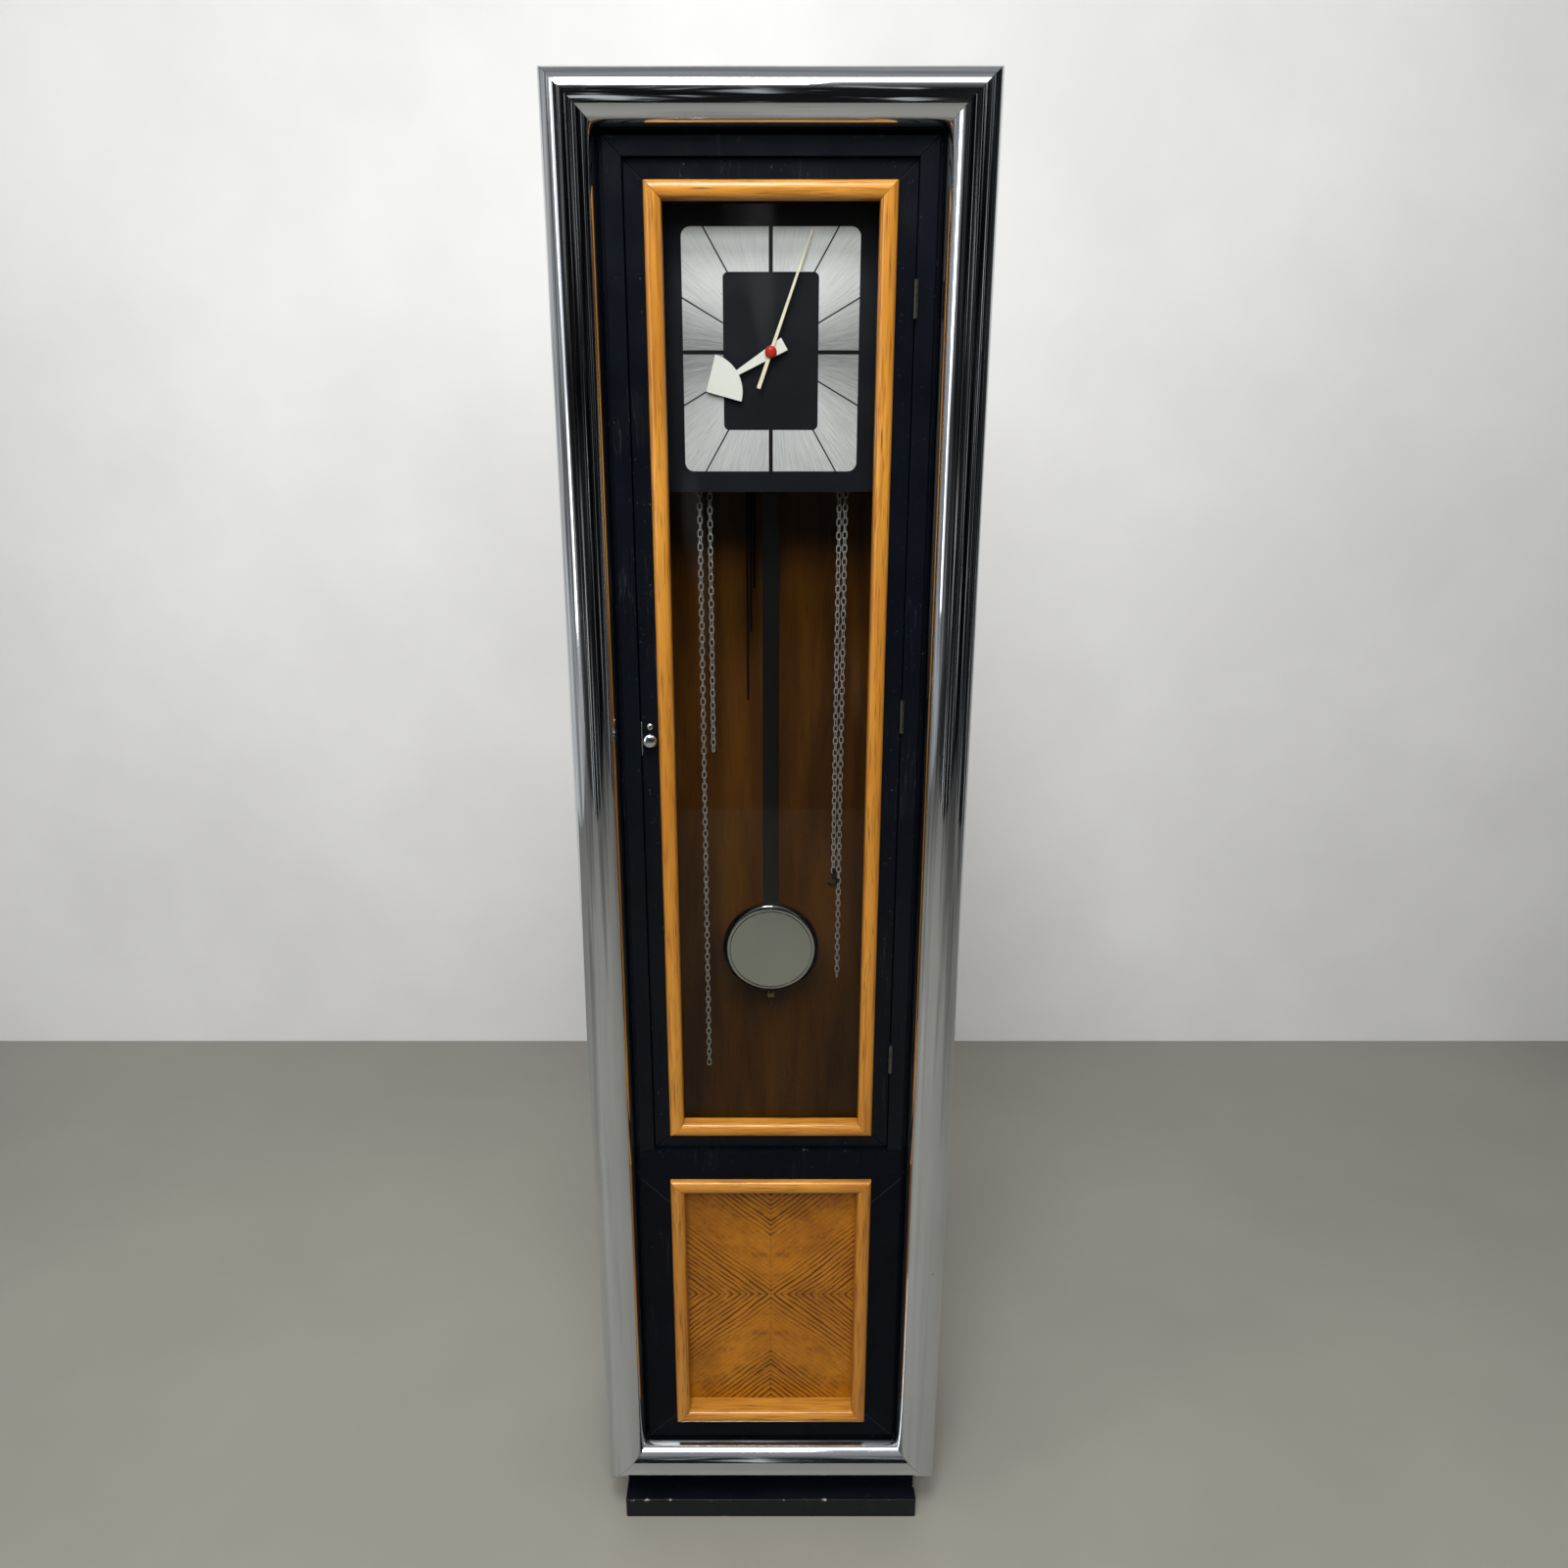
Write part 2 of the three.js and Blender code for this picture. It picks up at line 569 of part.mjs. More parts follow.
function makePlates() {
  const { half, low, high, thick, front, back } = PLATE;
  const arbors = [greatAt, strikeAt, intermediateAt, thirdAt, escapeAt];
  const pillars = [[-55, low + 8], [55, low + 8], [-92, high - 8], [92, high - 8]]
    .map(([x, z]) => barY(4, front + 1, back - GAP, x, z));
  const frontBlank = block([-half, half], [front, front + thick], [low, high]);
  const frontHoles = [...arbors, { x: 0, z: SWING.z }, { ...centreAt, r: 2.6 }];
  const frontPlate = cut(fuse(frontBlank, ...pillars), ...bores(frontHoles, front - 1, front + thick + 1));
  add('movement_front_plate', frontPlate, brass());

  const blank = block([-half, half], [back, back + thick], [low, high]);
  const cock = block([-9, 9], [back + 1, SWING.y + 6], [SWING.z + 2.5, SWING.z + 10]);
  const backHoles = [...arbors, centreAt, { x: 0, z: SWING.z }, { ...hammerAt, r: 1.9 }];
  const backPlate = cut(fuse(blank, cock), ...bores(backHoles, back - 1, back + thick + 0.8));
  add('movement_back_plate', backPlate, brass());
}

function makeSeatBoard() {
  const { low, thick, front, back } = SEAT;
  const board = block([-INSIDE, INSIDE], [front, back], [low, low + thick]);
  const slots = [strikeAt.x, greatAt.x]
    .map((x) => block([x - 20, x + 20], [CHAIN_Y - 7, CHAIN_Y + 7], [low - 1, low + thick + 1]));
  add('seat_board', cut(board, ...slots), veneer());
}

const CHIME = { x: -25.4, y: 89, z: 1500 };
const ROD_ENDS = [1137, 1224, 1279];

// Three tuned rods of different lengths hang from one block on the back panel.
function makeChimeRods() {
  const hanger = block([CHIME.x - 20, CHIME.x + 20], [CHIME.y - 21, BACK - BACK_PANEL - GAP],
    [CHIME.z, CHIME.z + 20]);
  const rods = ROD_ENDS.map((end, i) =>
    barZ(1.6, end, CHIME.z + 5, CHIME.x + (i - 1) * 4.1, CHIME.y + (i - 1) * 13, 10));
  add('chime_rods', fuse(hanger, ...rods), darkSteel());
}

const hammerAt = { x: -50, z: 1475 };

// The hammer hangs from its own arbor behind the back plate, just short of the longest rod.
function makeHammer() {
  const rodY = CHIME.y - 13;
  const pieces = [
    barY(1.5, PLATE.back + 0.5, rodY + 4, 0, 0, 10),
    barY(4, PLATE.back + PLATE.thick + GAP, PLATE.back + PLATE.thick + 3),
    block([-1.5, 1.5], [rodY - 1, rodY + 1], [-36, 1]),
    new THREE.CylinderGeometry(4, 4, 15.5, 12).rotateZ(Math.PI / 2).translate(8.25, rodY, -36),
  ];
  add('strike_hammer', fuse(...pieces), steel(), hammerAt);
}

// ---------------------------------------------------------------- chains

// A route that an extrusion follows from station to station, without adding any.
class StationRoute extends THREE.Curve {
  constructor(stations) {
    super();
    this.stations = stations.map(([x, y, z]) => new THREE.Vector3(x, y, z));
  }

  getSpacedPoints() {
    return this.stations;
  }

  getTangentAt(u) {
    const last = this.stations.length - 1;
    const i = Math.round(u * last);
    const before = this.stations[Math.max(i - 1, 0)];
    const after = this.stations[Math.min(i + 1, last)];
    return after.clone().sub(before).normalize();
  }
}

// A chain stands in as a plain bar: up one side, over the sprocket and down the other side.
// Below the sprocket the two runs are drawn together by the slot in the seat board.
function chainLoop(axle, left, right) {
  const stations = [[left.x, CHAIN_Y, left.end], [left.x, CHAIN_Y, SEAT.low - 10]];
  const steps = 10;
  for (let i = 0; i <= steps; i++) {
    const angle = Math.PI - (Math.PI * i) / steps;
    stations.push([axle.x + SPROCKET * Math.cos(angle), CHAIN_Y, axle.z + SPROCKET * Math.sin(angle)]);
  }
  stations.push([right.x, CHAIN_Y, SEAT.low - 10], [right.x, CHAIN_Y, right.end]);
  const section = new THREE.Shape().absarc(0, 0, CHAIN_RADIUS, 0, 2 * Math.PI);
  const settings = {
    steps: stations.length - 1,
    curveSegments: 4,
    bevelEnabled: false,
    extrudePath: new StationRoute(stations),
  };
  return new THREE.ExtrudeGeometry(section, settings);
}

function makeChains() {
  add('strike_chain', chainLoop(strikeAt, { x: -83.2, end: 657 }, { x: -71.3, end: 1091 }), steel());
  add('time_chain', chainLoop(greatAt, { x: 80, end: 935 }, { x: 87, end: 786 }), steel());
}

// ---------------------------------------------------------------- dial and hands

function makeDial() {
  const { z, y, half, tall } = DIAL;
  const ringBack = y + 0.6;
  const plateY = [ringBack + GAP, ringBack + GAP + 2];
  const feet = [[-85, -112], [85, -112], [-85, 68], [85, 68]]
    .map(([x, up]) => barY(3, plateY[0] + 1, PLATE.front - GAP, x, z + up));
  const plate = fuse(block([-half, half], plateY, [z - tall, z + tall]), ...feet);
  add('dial_plate', cut(plate, barY(4.6, y - 1, plateY[1] + 1, 0, z)), lacquer());

  const ring = roundedRectangle(RING.width, RING.height, RING.corner);
  ring.holes.push(roundedRectangle(WINDOW.width, WINDOW.height, WINDOW.corner));
  add('dial_ring', plateXZ(ring, y, ringBack), silver(), { z });
}

// The hour hand: a tapered bar with a quarter-circle head whose corner points outwards.
function hourHandShape() {
  const tip = 82;
  const head = 40;
  const shape = new THREE.Shape();
  const quarter = Math.PI / 4;
  const arcLow = -Math.PI / 2 - quarter;
  const nearHalf = 2.7;
  const nearAngle = Math.asin(nearHalf / head);
  shape.moveTo(0, tip);
  shape.absarc(0, tip, head, arcLow, -Math.PI / 2 - nearAngle, false);
  shape.lineTo(-7.35, -17);
  shape.lineTo(7.35, -17);
  shape.absarc(0, tip, head, -Math.PI / 2 + nearAngle, -Math.PI / 2 + quarter, false);
  shape.closePath();
  return shape;
}

function makeHands() {
  const hourTurn = THREE.MathUtils.degToRad(HOUR_ANGLE);
  const minuteTurn = THREE.MathUtils.degToRad(MINUTE_ANGLE);
  const hourY = DIAL.y - 5;
  const hourPlate = plateXZ(hourHandShape(), hourY - 0.9, hourY + 0.1);
  const pipe = barY(3.6, hourY, PLATE.front - 2, 0, 0, 16);
  const pipeBore = barY(2.5, hourY - 2, PLATE.front, 0, 0, 16);
  add('hour_hand', cut(fuse(hourPlate, pipe), pipeBore), whitePaint(), { ...centreAt, turn: hourTurn });

  const minuteY = DIAL.y - 8.5;
  const needle = outline([[-1, 130], [-2.15, -40], [2.15, -40], [1, 130]]);
  const hub = barY(4.5, minuteY - 0.4, minuteY + 1, 0, 0, 16);
  const bore = barY(2.3, minuteY - 3, minuteY + 3, 0, 0, 12);
  const minute = cut(fuse(plateXZ(needle, minuteY, minuteY + 0.7), hub), bore);
  add('minute_hand', minute, creamPaint(), { ...centreAt, turn: minuteTurn });

  const capY = minuteY - 0.7;
  const cap = turnedY([
    [0, -4.2], [3, -3.8], [5.2, -2.4], [6.5, -0.4], [6.5, 0], [0, 0],
  ], 24).translate(0, capY, 0);
  add('hand_cap', cap, redPaint(), centreAt);
}

// ---------------------------------------------------------------- pendulum

function makePendulum() {
  const { y, z } = SWING;
  const rodY = [y - ROD.thick / 2, y + ROD.thick / 2];
  const blade = block([-ROD.half, ROD.half], rodY, [ROD.low, ROD.top]);
  const crutchSlot = block([-2.2, 2.2], [rodY[0] - 1, rodY[1] + 1], [z - 61, z - 49]);
  const spring = block([-4, 4], [y - 0.8, y + 0.8], [ROD.top - 1, z + 1]);
  const thread = barZ(2, 714, ROD.low + 1, 0, y, 12);
  add('pendulum_rod', fuse(cut(blade, crutchSlot), spring, thread), lacquer());

  const { radius, face, half } = BOB;
  const disc = turnedY([
    [0, -half], [face, -half], [face + 3, -half + 1.2], [radius, -3], [radius, 3], [face, half], [0, half],
  ], 48).translate(0, y, BOB.z);
  const channel = block([-ROD.half - GAP, ROD.half + GAP], [rodY[0] - GAP, rodY[1] + GAP], [700, 900]);
  add('pendulum_bob', cut(disc, channel), chrome());

  const nut = cut(barZ(4.65, 727, 733, 0, y, 20), barZ(2.4, 720, 740, 0, y));
  add('rating_nut', nut, brass());
}

// ---------------------------------------------------------------- assembly

makeCase();
makeChromeTrim();
makeFaceFrame();
makeLowerFront();
makeDoor();
makeLatch();
makeLatchTrim();
makeHinges();
makeSeatBoard();
makePlates();
makeTrain();
makeAnchor();
makeChimeRods();
makeHammer();
makeChains();
makeDial();
makeHands();
makePendulum();

export default clock;
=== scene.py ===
"""The looks of a longcase clock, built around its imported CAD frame. Metres, Z up, the front faces -Y."""

import math
import random

import bmesh
import bpy
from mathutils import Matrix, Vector


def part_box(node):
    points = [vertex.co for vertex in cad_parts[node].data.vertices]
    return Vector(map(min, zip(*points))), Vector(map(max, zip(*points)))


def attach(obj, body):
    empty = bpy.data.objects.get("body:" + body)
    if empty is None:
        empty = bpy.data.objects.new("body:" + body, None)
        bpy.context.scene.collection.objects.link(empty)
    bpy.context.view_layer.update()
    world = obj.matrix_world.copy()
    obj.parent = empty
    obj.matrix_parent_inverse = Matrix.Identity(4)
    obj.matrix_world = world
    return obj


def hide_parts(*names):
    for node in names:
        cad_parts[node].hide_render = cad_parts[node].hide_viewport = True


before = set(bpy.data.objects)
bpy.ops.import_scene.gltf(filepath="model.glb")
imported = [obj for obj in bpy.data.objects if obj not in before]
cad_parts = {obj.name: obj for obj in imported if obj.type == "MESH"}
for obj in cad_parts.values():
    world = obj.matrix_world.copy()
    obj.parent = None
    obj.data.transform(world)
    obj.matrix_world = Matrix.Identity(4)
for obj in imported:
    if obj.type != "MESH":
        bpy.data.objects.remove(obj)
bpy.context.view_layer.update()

SIDES = ("left", "right", "top", "bottom")
MM = 0.001
random.seed(11)


# ---------------------------------------------------------------- camera, stage and light

def make_camera():
    eye_height = 1.4925
    eye_to_case = 1.324
    pitch_down = math.radians(17.3)
    case_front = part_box("chrome_trim_left")[1].y
    data = bpy.data.cameras.new("camera")
    data.sensor_width = 36
    data.lens = 27.22
    data.shift_x = 0.0084
    camera = bpy.data.objects.new("camera", data)
    camera.location = (0, case_front - eye_to_case, eye_height)
    camera.rotation_euler = (math.pi / 2 - pitch_down, 0, 0)
    bpy.context.collection.objects.link(camera)
    bpy.context.scene.camera = camera


def make_stage():
    wall_y, wall_half, floor_reach = 1.2, 2.0, 3.2
    floor = plane("floor", [(-floor_reach, -floor_reach, 0), (floor_reach, -floor_reach, 0),
                            (floor_reach, wall_y, 0), (-floor_reach, wall_y, 0)])
    wall = plane("backdrop", [(-wall_half, wall_y, 0), (wall_half, wall_y, 0),
                              (wall_half, wall_y, 3.2), (-wall_half, wall_y, 3.2)])
    floor.data.materials.append(stage_material("stage_floor", (0.285, 0.272, 0.236), 0.5))
    wall.data.materials.append(stage_material("stage_wall", (0.86, 0.86, 0.845), 0.7))


def add_light(name, location, target, size, power, mirrored=True):
    data = bpy.data.lights.new(name, "AREA")
    data.shape = "RECTANGLE"
    data.size, data.size_y = size
    data.energy = power
    light = bpy.data.objects.new(name, data)
    light.location = location
    light.rotation_euler = (Vector(target) - Vector(location)).to_track_quat("-Z", "Y").to_euler()
    light.visible_glossy = mirrored
    bpy.context.collection.objects.link(light)


def make_light():
    add_light("ceiling_light", (-0.22, -1.5, 3.4), (0, 0, 1.0), (0.75, 1.0), 50)
    add_light("wall_light", (0, -0.9, 2.9), (0, 1.2, 0.1), (3.2, 0.5), 13)
    add_light("front_fill", (0, -2.7, 2.8), (0, 0, 0.7), (1.8, 0.8), 58, mirrored=False)
    add_light("window", (-2.25, -1.45, 1.75), (0, 0, 1.2), (0.5, 1.9), 13)
    make_room()
    bpy.context.scene.view_settings.view_transform = "Standard"


# Brightness of the surroundings, which the chrome mirrors and which also light the scene, against
# degrees clockwise, seen from above, from straight ahead of the dial. Negative is to the left of
# someone facing the clock. The values were chosen to make the chrome look right.
ROOM = (
    (-180, 0.8), (-150, 0.55), (-118, 0.5), (-100, 0.5), (-84, 0.2),
    (-70, 0.5), (-52, 0.34), (-40, 0.03), (-26, 0.05), (-12, 0.01),
    (6, 0.01), (18, 0.03), (30, 0.005), (52, 0.01), (66, 0.02),
    (84, 0.01), (104, 0.03), (122, 0.04), (140, 0.3), (180, 0.8),
)


def make_room():
    world = bpy.data.worlds.new("room")
    bpy.context.scene.world = world
    world.use_nodes = True
    nodes, links = world.node_tree.nodes, world.node_tree.links

    def feed(socket, value):
        if isinstance(value, bpy.types.NodeSocket):
            links.new(value, socket)
        else:
            socket.default_value = value

    def calculate(operation, first, second=0.0):
        node = nodes.new("ShaderNodeMath")
        node.operation = operation
        feed(node.inputs[0], first)
        feed(node.inputs[1], second)
        return node.outputs[0]

    coordinates = nodes.new("ShaderNodeTexCoord")
    split = nodes.new("ShaderNodeSeparateXYZ")
    links.new(coordinates.outputs["Generated"], split.inputs[0])
    ahead = calculate("MULTIPLY", split.outputs["Y"], -1)
    turn = calculate("ARCTAN2", split.outputs["X"], ahead)
    # Upright shapes in the room, which the half-round chrome draws out into lengthwise streaks.
    shapes = nodes.new("ShaderNodeTexNoise")
    shapes.noise_dimensions = "2D"
    place = nodes.new("ShaderNodeCombineXYZ")
    feed(place.inputs[0], turn)
    feed(place.inputs[1], calculate("MULTIPLY", split.outputs["Z"], 0.16))
    links.new(place.outputs[0], shapes.inputs["Vector"])
    shapes.inputs["Scale"].default_value = 7
    shapes.inputs["Detail"].default_value = 4
    shapes.inputs["Roughness"].default_value = 0.6
    wobble = calculate("MULTIPLY", calculate("SUBTRACT", shapes.outputs[0], 0.5), 0.35)
    around = calculate("ADD", calculate("DIVIDE", calculate("ADD", turn, wobble), 2 * math.pi), 0.5)
    ramp = nodes.new("ShaderNodeValToRGB")
    stops = ramp.color_ramp.elements
    for degrees, level in ROOM[1:-1]:
        stops.new(degrees / 360 + 0.5)
    for stop, (degrees, level) in zip(stops, ROOM):
        stop.position = degrees / 360 + 0.5
        stop.color = (level, level, level, 1)
    feed(ramp.inputs[0], around)
    # Narrow bright edges stand out of the dark room.
    edges = nodes.new("ShaderNodeTexNoise")
    edges.noise_dimensions = "2D"
    links.new(place.outputs[0], edges.inputs["Vector"])
    edges.inputs["Scale"].default_value = 11
    edges.inputs["Detail"].default_value = 2
    edges.inputs["Roughness"].default_value = 0.75
    glint = nodes.new("ShaderNodeMapRange")
    for socket, value in zip(glint.inputs[1:5], (0.6, 0.68, 0.0, 0.6)):
        socket.default_value = value
    links.new(edges.outputs[0], glint.inputs[0])
    room = nodes.new("ShaderNodeVectorMath")
    links.new(ramp.outputs[0], room.inputs[0])
    links.new(glint.outputs[0], room.inputs[1])
    # Overhead it is all pale ceiling.
    overhead = nodes.new("ShaderNodeMapRange")
    overhead.interpolation_type = "SMOOTHSTEP"
    for socket, value in zip(overhead.inputs[1:5], (0.35, 0.75, 0.0, 1.0)):
        socket.default_value = value
    links.new(split.outputs["Z"], overhead.inputs[0])
    level = nodes.new("ShaderNodeMix")
    level.data_type = "RGBA"
    links.new(overhead.outputs[0], level.inputs["Factor"])
    links.new(room.outputs[0], level.inputs[6])
    level.inputs[7].default_value = (0.32, 0.32, 0.33, 1)
    # The pattern above shows only in reflections and as light. Seen directly, the room is plain and pale.
    seen = nodes.new("ShaderNodeMix")
    seen.data_type = "RGBA"
    links.new(nodes.new("ShaderNodeLightPath").outputs["Is Camera Ray"], seen.inputs["Factor"])
    links.new(level.outputs[2], seen.inputs[6])
    seen.inputs[7].default_value = (0.62, 0.62, 0.61, 1)
    links.new(seen.outputs[2], nodes["Background"].inputs["Color"])


# ---------------------------------------------------------------- material nodes

def srgb(red, green, blue):
    """A colour given as 0-255 sRGB, as the linear colour that shaders take."""
    def linear(c):
        return c / 255 / 12.92 if c <= 10 else ((c / 255 + 0.055) / 1.055) ** 2.4

    return linear(red), linear(green), linear(blue)


class Finish:
    """A material with a Principled shader, and short calls that add the nodes that feed it."""

    def __init__(self, name, **plain):
        self.material = bpy.data.materials.new(name)
        self.material.use_nodes = True
        self.tree = self.material.node_tree
        self.shader = self.tree.nodes["Principled BSDF"]
        self.where = self.add("ShaderNodeTexCoord").outputs["Object"]
        for socket, value in plain.items():
            self.put(self.shader.inputs[socket.replace("_", " ")], value)

    def add(self, kind, inputs=None, **settings):
        node = self.tree.nodes.new(kind)
        for name, value in settings.items():
            setattr(node, name, value)
        for name, value in (inputs or {}).items():
            self.put(node.inputs[name], value)
        return node

    def put(self, socket, value):
        if isinstance(value, bpy.types.NodeSocket):
            self.tree.links.new(value, socket)
        elif socket.type == "RGBA" and len(value) == 3:
            socket.default_value = (*value, 1)
        else:
            socket.default_value = value

    def math(self, operation, a, b=0.0, clamp=False):
        return self.add("ShaderNodeMath", {0: a, 1: b}, operation=operation, use_clamp=clamp).outputs[0]

    def plus(self, a, b):
        return self.math("ADD", a, b)

    def minus(self, a, b):
        return self.math("SUBTRACT", a, b)

    def times(self, a, b):
        return self.math("MULTIPLY", a, b)

    def split(self):
        return self.add("ShaderNodeSeparateXYZ", {0: self.where}).outputs

    def join(self, x, y, z):
        return self.add("ShaderNodeCombineXYZ", {0: x, 1: y, 2: z}).outputs[0]

    def scaled(self, scale):
        inputs = {"Vector": self.where, "Scale": scale}
        return self.add("ShaderNodeMapping", inputs).outputs[0]

    def noise(self, scale, vector=None, detail=2.0, roughness=0.5, distortion=0.0):
        inputs = {"Vector": vector or self.where, "Scale": scale, "Detail": detail,
                  "Roughness": roughness, "Distortion": distortion}
        return self.add("ShaderNodeTexNoise", inputs).outputs[0]

    def remap(self, value, low, high, to_low=0.0, to_high=1.0):
        inputs = {0: value, 1: low, 2: high, 3: to_low, 4: to_high}
        return self.add("ShaderNodeMapRange", inputs).outputs[0]

    def mix(self, factor, a, b):
        node = self.add("ShaderNodeMix", {"Factor": factor}, data_type="RGBA")
        self.put(node.inputs[6], a)
        self.put(node.inputs[7], b)
        return node.outputs[2]

    def color(self, value):
        self.put(self.shader.inputs["Base Color"], value)

    def rough(self, value):
        self.put(self.shader.inputs["Roughness"], value)

    def bump(self, height, distance, strength=1.0):
        inputs = {"Height": height, "Distance": distance, "Strength": strength}
        self.put(self.shader.inputs["Normal"], self.add("ShaderNodeBump", inputs).outputs[0])


def scratches(finish, scale, along, thinness=0.012):
    """Thin broken lines that run mostly one way, as 1 on a line and 0 off it."""
    wave = finish.noise(scale, finish.scaled(along), detail=3, roughness=0.65)
    line = finish.math("ABSOLUTE", finish.minus(wave, 0.5))
    thin = finish.remap(line, thinness, 0.0)
    broken = finish.remap(finish.noise(9, detail=2), 0.52, 0.6)
    return finish.times(thin, broken)


# ---------------------------------------------------------------- materials

def stage_material(name, color, roughness):
    finish = Finish(name)
    tone = finish.noise(1.4, detail=4, roughness=0.6)
    dark = tuple(c * 0.9 for c in color)
    finish.color(finish.mix(finish.remap(tone, 0.35, 0.65), dark, color))
    finish.rough(roughness)
    return finish.material


def lacquer(name="black_lacquer", box_node=None, shine=0.16, mitred=False):
    """Satin black lacquer with brushed-out grain, dust and fine scratches.

    A box adds chips near its edges, and mitred adds joints that run in from its corners.
    """
    finish = Finish(name, Specular_IOR_Level=shine)
    black = srgb(6, 9, 16)
    worn = srgb(20, 24, 31)
    haze = finish.remap(finish.noise(7, detail=4, roughness=0.6), 0.4, 0.75)
    base = finish.mix(finish.times(haze, 0.25), black, worn)
    dust = finish.remap(finish.noise(420, detail=1), 0.74, 0.8)
    base = finish.mix(finish.times(dust, 0.35), base, srgb(120, 122, 120))
    lines = scratches(finish, 60, (1, 1, 0.05), 0.005)
    base = finish.mix(finish.times(lines, 0.14), base, srgb(95, 98, 104))
    if mitred:
        base = mitre_seams(finish, base, *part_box(box_node))
    if box_node:
        base = edge_chips(finish, base, *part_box(box_node))
    finish.color(base)
    finish.rough(finish.remap(finish.noise(18, detail=3), 0.3, 0.7, 0.3, 0.46))
    grain = finish.noise(1, finish.scaled((500, 500, 18)), detail=2)
    finish.bump(grain, 0.00012, 0.35)
    return finish.material


def edge_chips(finish, base, low, high):
    """Bare wood and pale scuffs where two faces of a box meet."""
    x, y, z = finish.split()[:3]
    near = []
    for value, a, b in ((x, low.x, high.x), (y, low.y, high.y), (z, low.z, high.z)):
        from_low = finish.minus(value, a)
        from_high = finish.minus(b, value)
        edge = finish.math("MINIMUM", from_low, from_high)
        near.append(finish.remap(edge, 0.0045, 0.0))
    pairs = finish.plus(finish.plus(near[0], near[1]), near[2])
    on_edge = finish.remap(pairs, 1.3, 1.9)
    patchy = finish.remap(finish.noise(55, detail=4, roughness=0.75), 0.62, 0.66)
    return finish.mix(finish.times(on_edge, patchy), base, srgb(190, 178, 160))


def mitre_seams(finish, base, low, high):
    """A faint open joint that runs in at 45 degrees from each corner of the box's front."""
    x, _, z = finish.split()[:3]
    from_side = finish.math("MINIMUM", finish.minus(x, low.x), finish.minus(high.x, x))
    from_end = finish.math("MINIMUM", finish.minus(z, low.z), finish.minus(high.z, z))
    off = finish.math("ABSOLUTE", finish.minus(from_side, from_end))
    return finish.mix(finish.remap(off, 0.0009, 0.0003, 0.0, 0.8), base, srgb(46, 48, 54))


def chrome(name, roughness=0.05, streak=(1, 1, 0.04), clean=srgb(214, 219, 224), painted_reflection=0.0):
    """Polished chrome with haze, scratches, worn spots and painted reflections.

    Dark lengthwise streaks are painted into the colour, fading downwards. They are painted reflections,
    standing in for reflections of things that are not in the scene.
    """
    finish = Finish(name, Metallic=1.0)
    haze = finish.remap(finish.noise(5, detail=4, roughness=0.6), 0.45, 0.75)
    spots = finish.remap(finish.noise(130, detail=2), 0.74, 0.8)
    color = finish.mix(finish.times(haze, 0.16), clean, tuple(c * 0.55 for c in clean))
    # Painted reflection: dark lengthwise streaks in the colour, stronger higher up, standing for things not
    # in the scene.
    if painted_reflection:
        broad = finish.noise(1, finish.scaled(tuple(115 if s == 1 else 2.2 for s in streak)), detail=2)
        height = finish.remap(finish.split()[2], 0.6, 1.2, painted_reflection * 0.12, painted_reflection)
        smear_and_painted_reflection = finish.times(finish.remap(broad, 0.47, 0.6), height)
        color = finish.mix(smear_and_painted_reflection, color, srgb(44, 48, 58))
    finish.color(finish.mix(finish.times(spots, 0.5), color, srgb(90, 88, 84)))
    lines = scratches(finish, 110, streak, 0.008)
    soft = finish.remap(haze, 0.0, 1.0, roughness, roughness + 0.07)
    finish.rough(finish.plus(soft, finish.times(lines, 0.12)))
    ripple = finish.noise(1, finish.scaled(tuple(20 * s for s in streak)), detail=0)
    finish.bump(ripple, 0.0005, 0.12)
    return finish.material


def grain_lines(finish, across, along, depth):
    """Ring lines, open pores and slow colour drift of a board whose grain runs along one coordinate."""
    stretched = finish.join(finish.times(across, 1.0), finish.times(along, 0.045), depth)
    rings = finish.noise(260, stretched, detail=3, roughness=0.6, distortion=0.3)
    pores = finish.noise(760, finish.join(across, finish.times(along, 0.03), depth), detail=2)
    drift = finish.noise(22, finish.join(across, finish.times(along, 0.2), depth), detail=2)
    return rings, pores, drift


def oak(name, upright):
    """Honey oak moulding, with its grain along the stick."""
    finish = Finish(name, Coat_Weight=0.3, Coat_Roughness=0.14, Specular_IOR_Level=0.35)
    x, y, z = finish.split()[:3]
    across, along = (x, z) if upright else (z, x)
    slanted = finish.plus(across, finish.times(y, 0.6))
    rings, pores, drift = grain_lines(finish, slanted, along, y)
    color = finish.mix(finish.remap(drift, 0.35, 0.7), srgb(192, 132, 48), srgb(168, 107, 32))
    color = finish.mix(finish.remap(rings, 0.5, 0.66, 0.0, 0.55), color, srgb(124, 70, 16))
    color = finish.mix(finish.remap(pores, 0.6, 0.7, 0.0, 0.75), color, srgb(96, 52, 18))
    finish.color(color)
    finish.rough(finish.remap(pores, 0.4, 0.7, 0.28, 0.5))
    finish.bump(finish.minus(1.0, finish.remap(pores, 0.58, 0.7)), 0.00025, 0.5)
    return finish.material


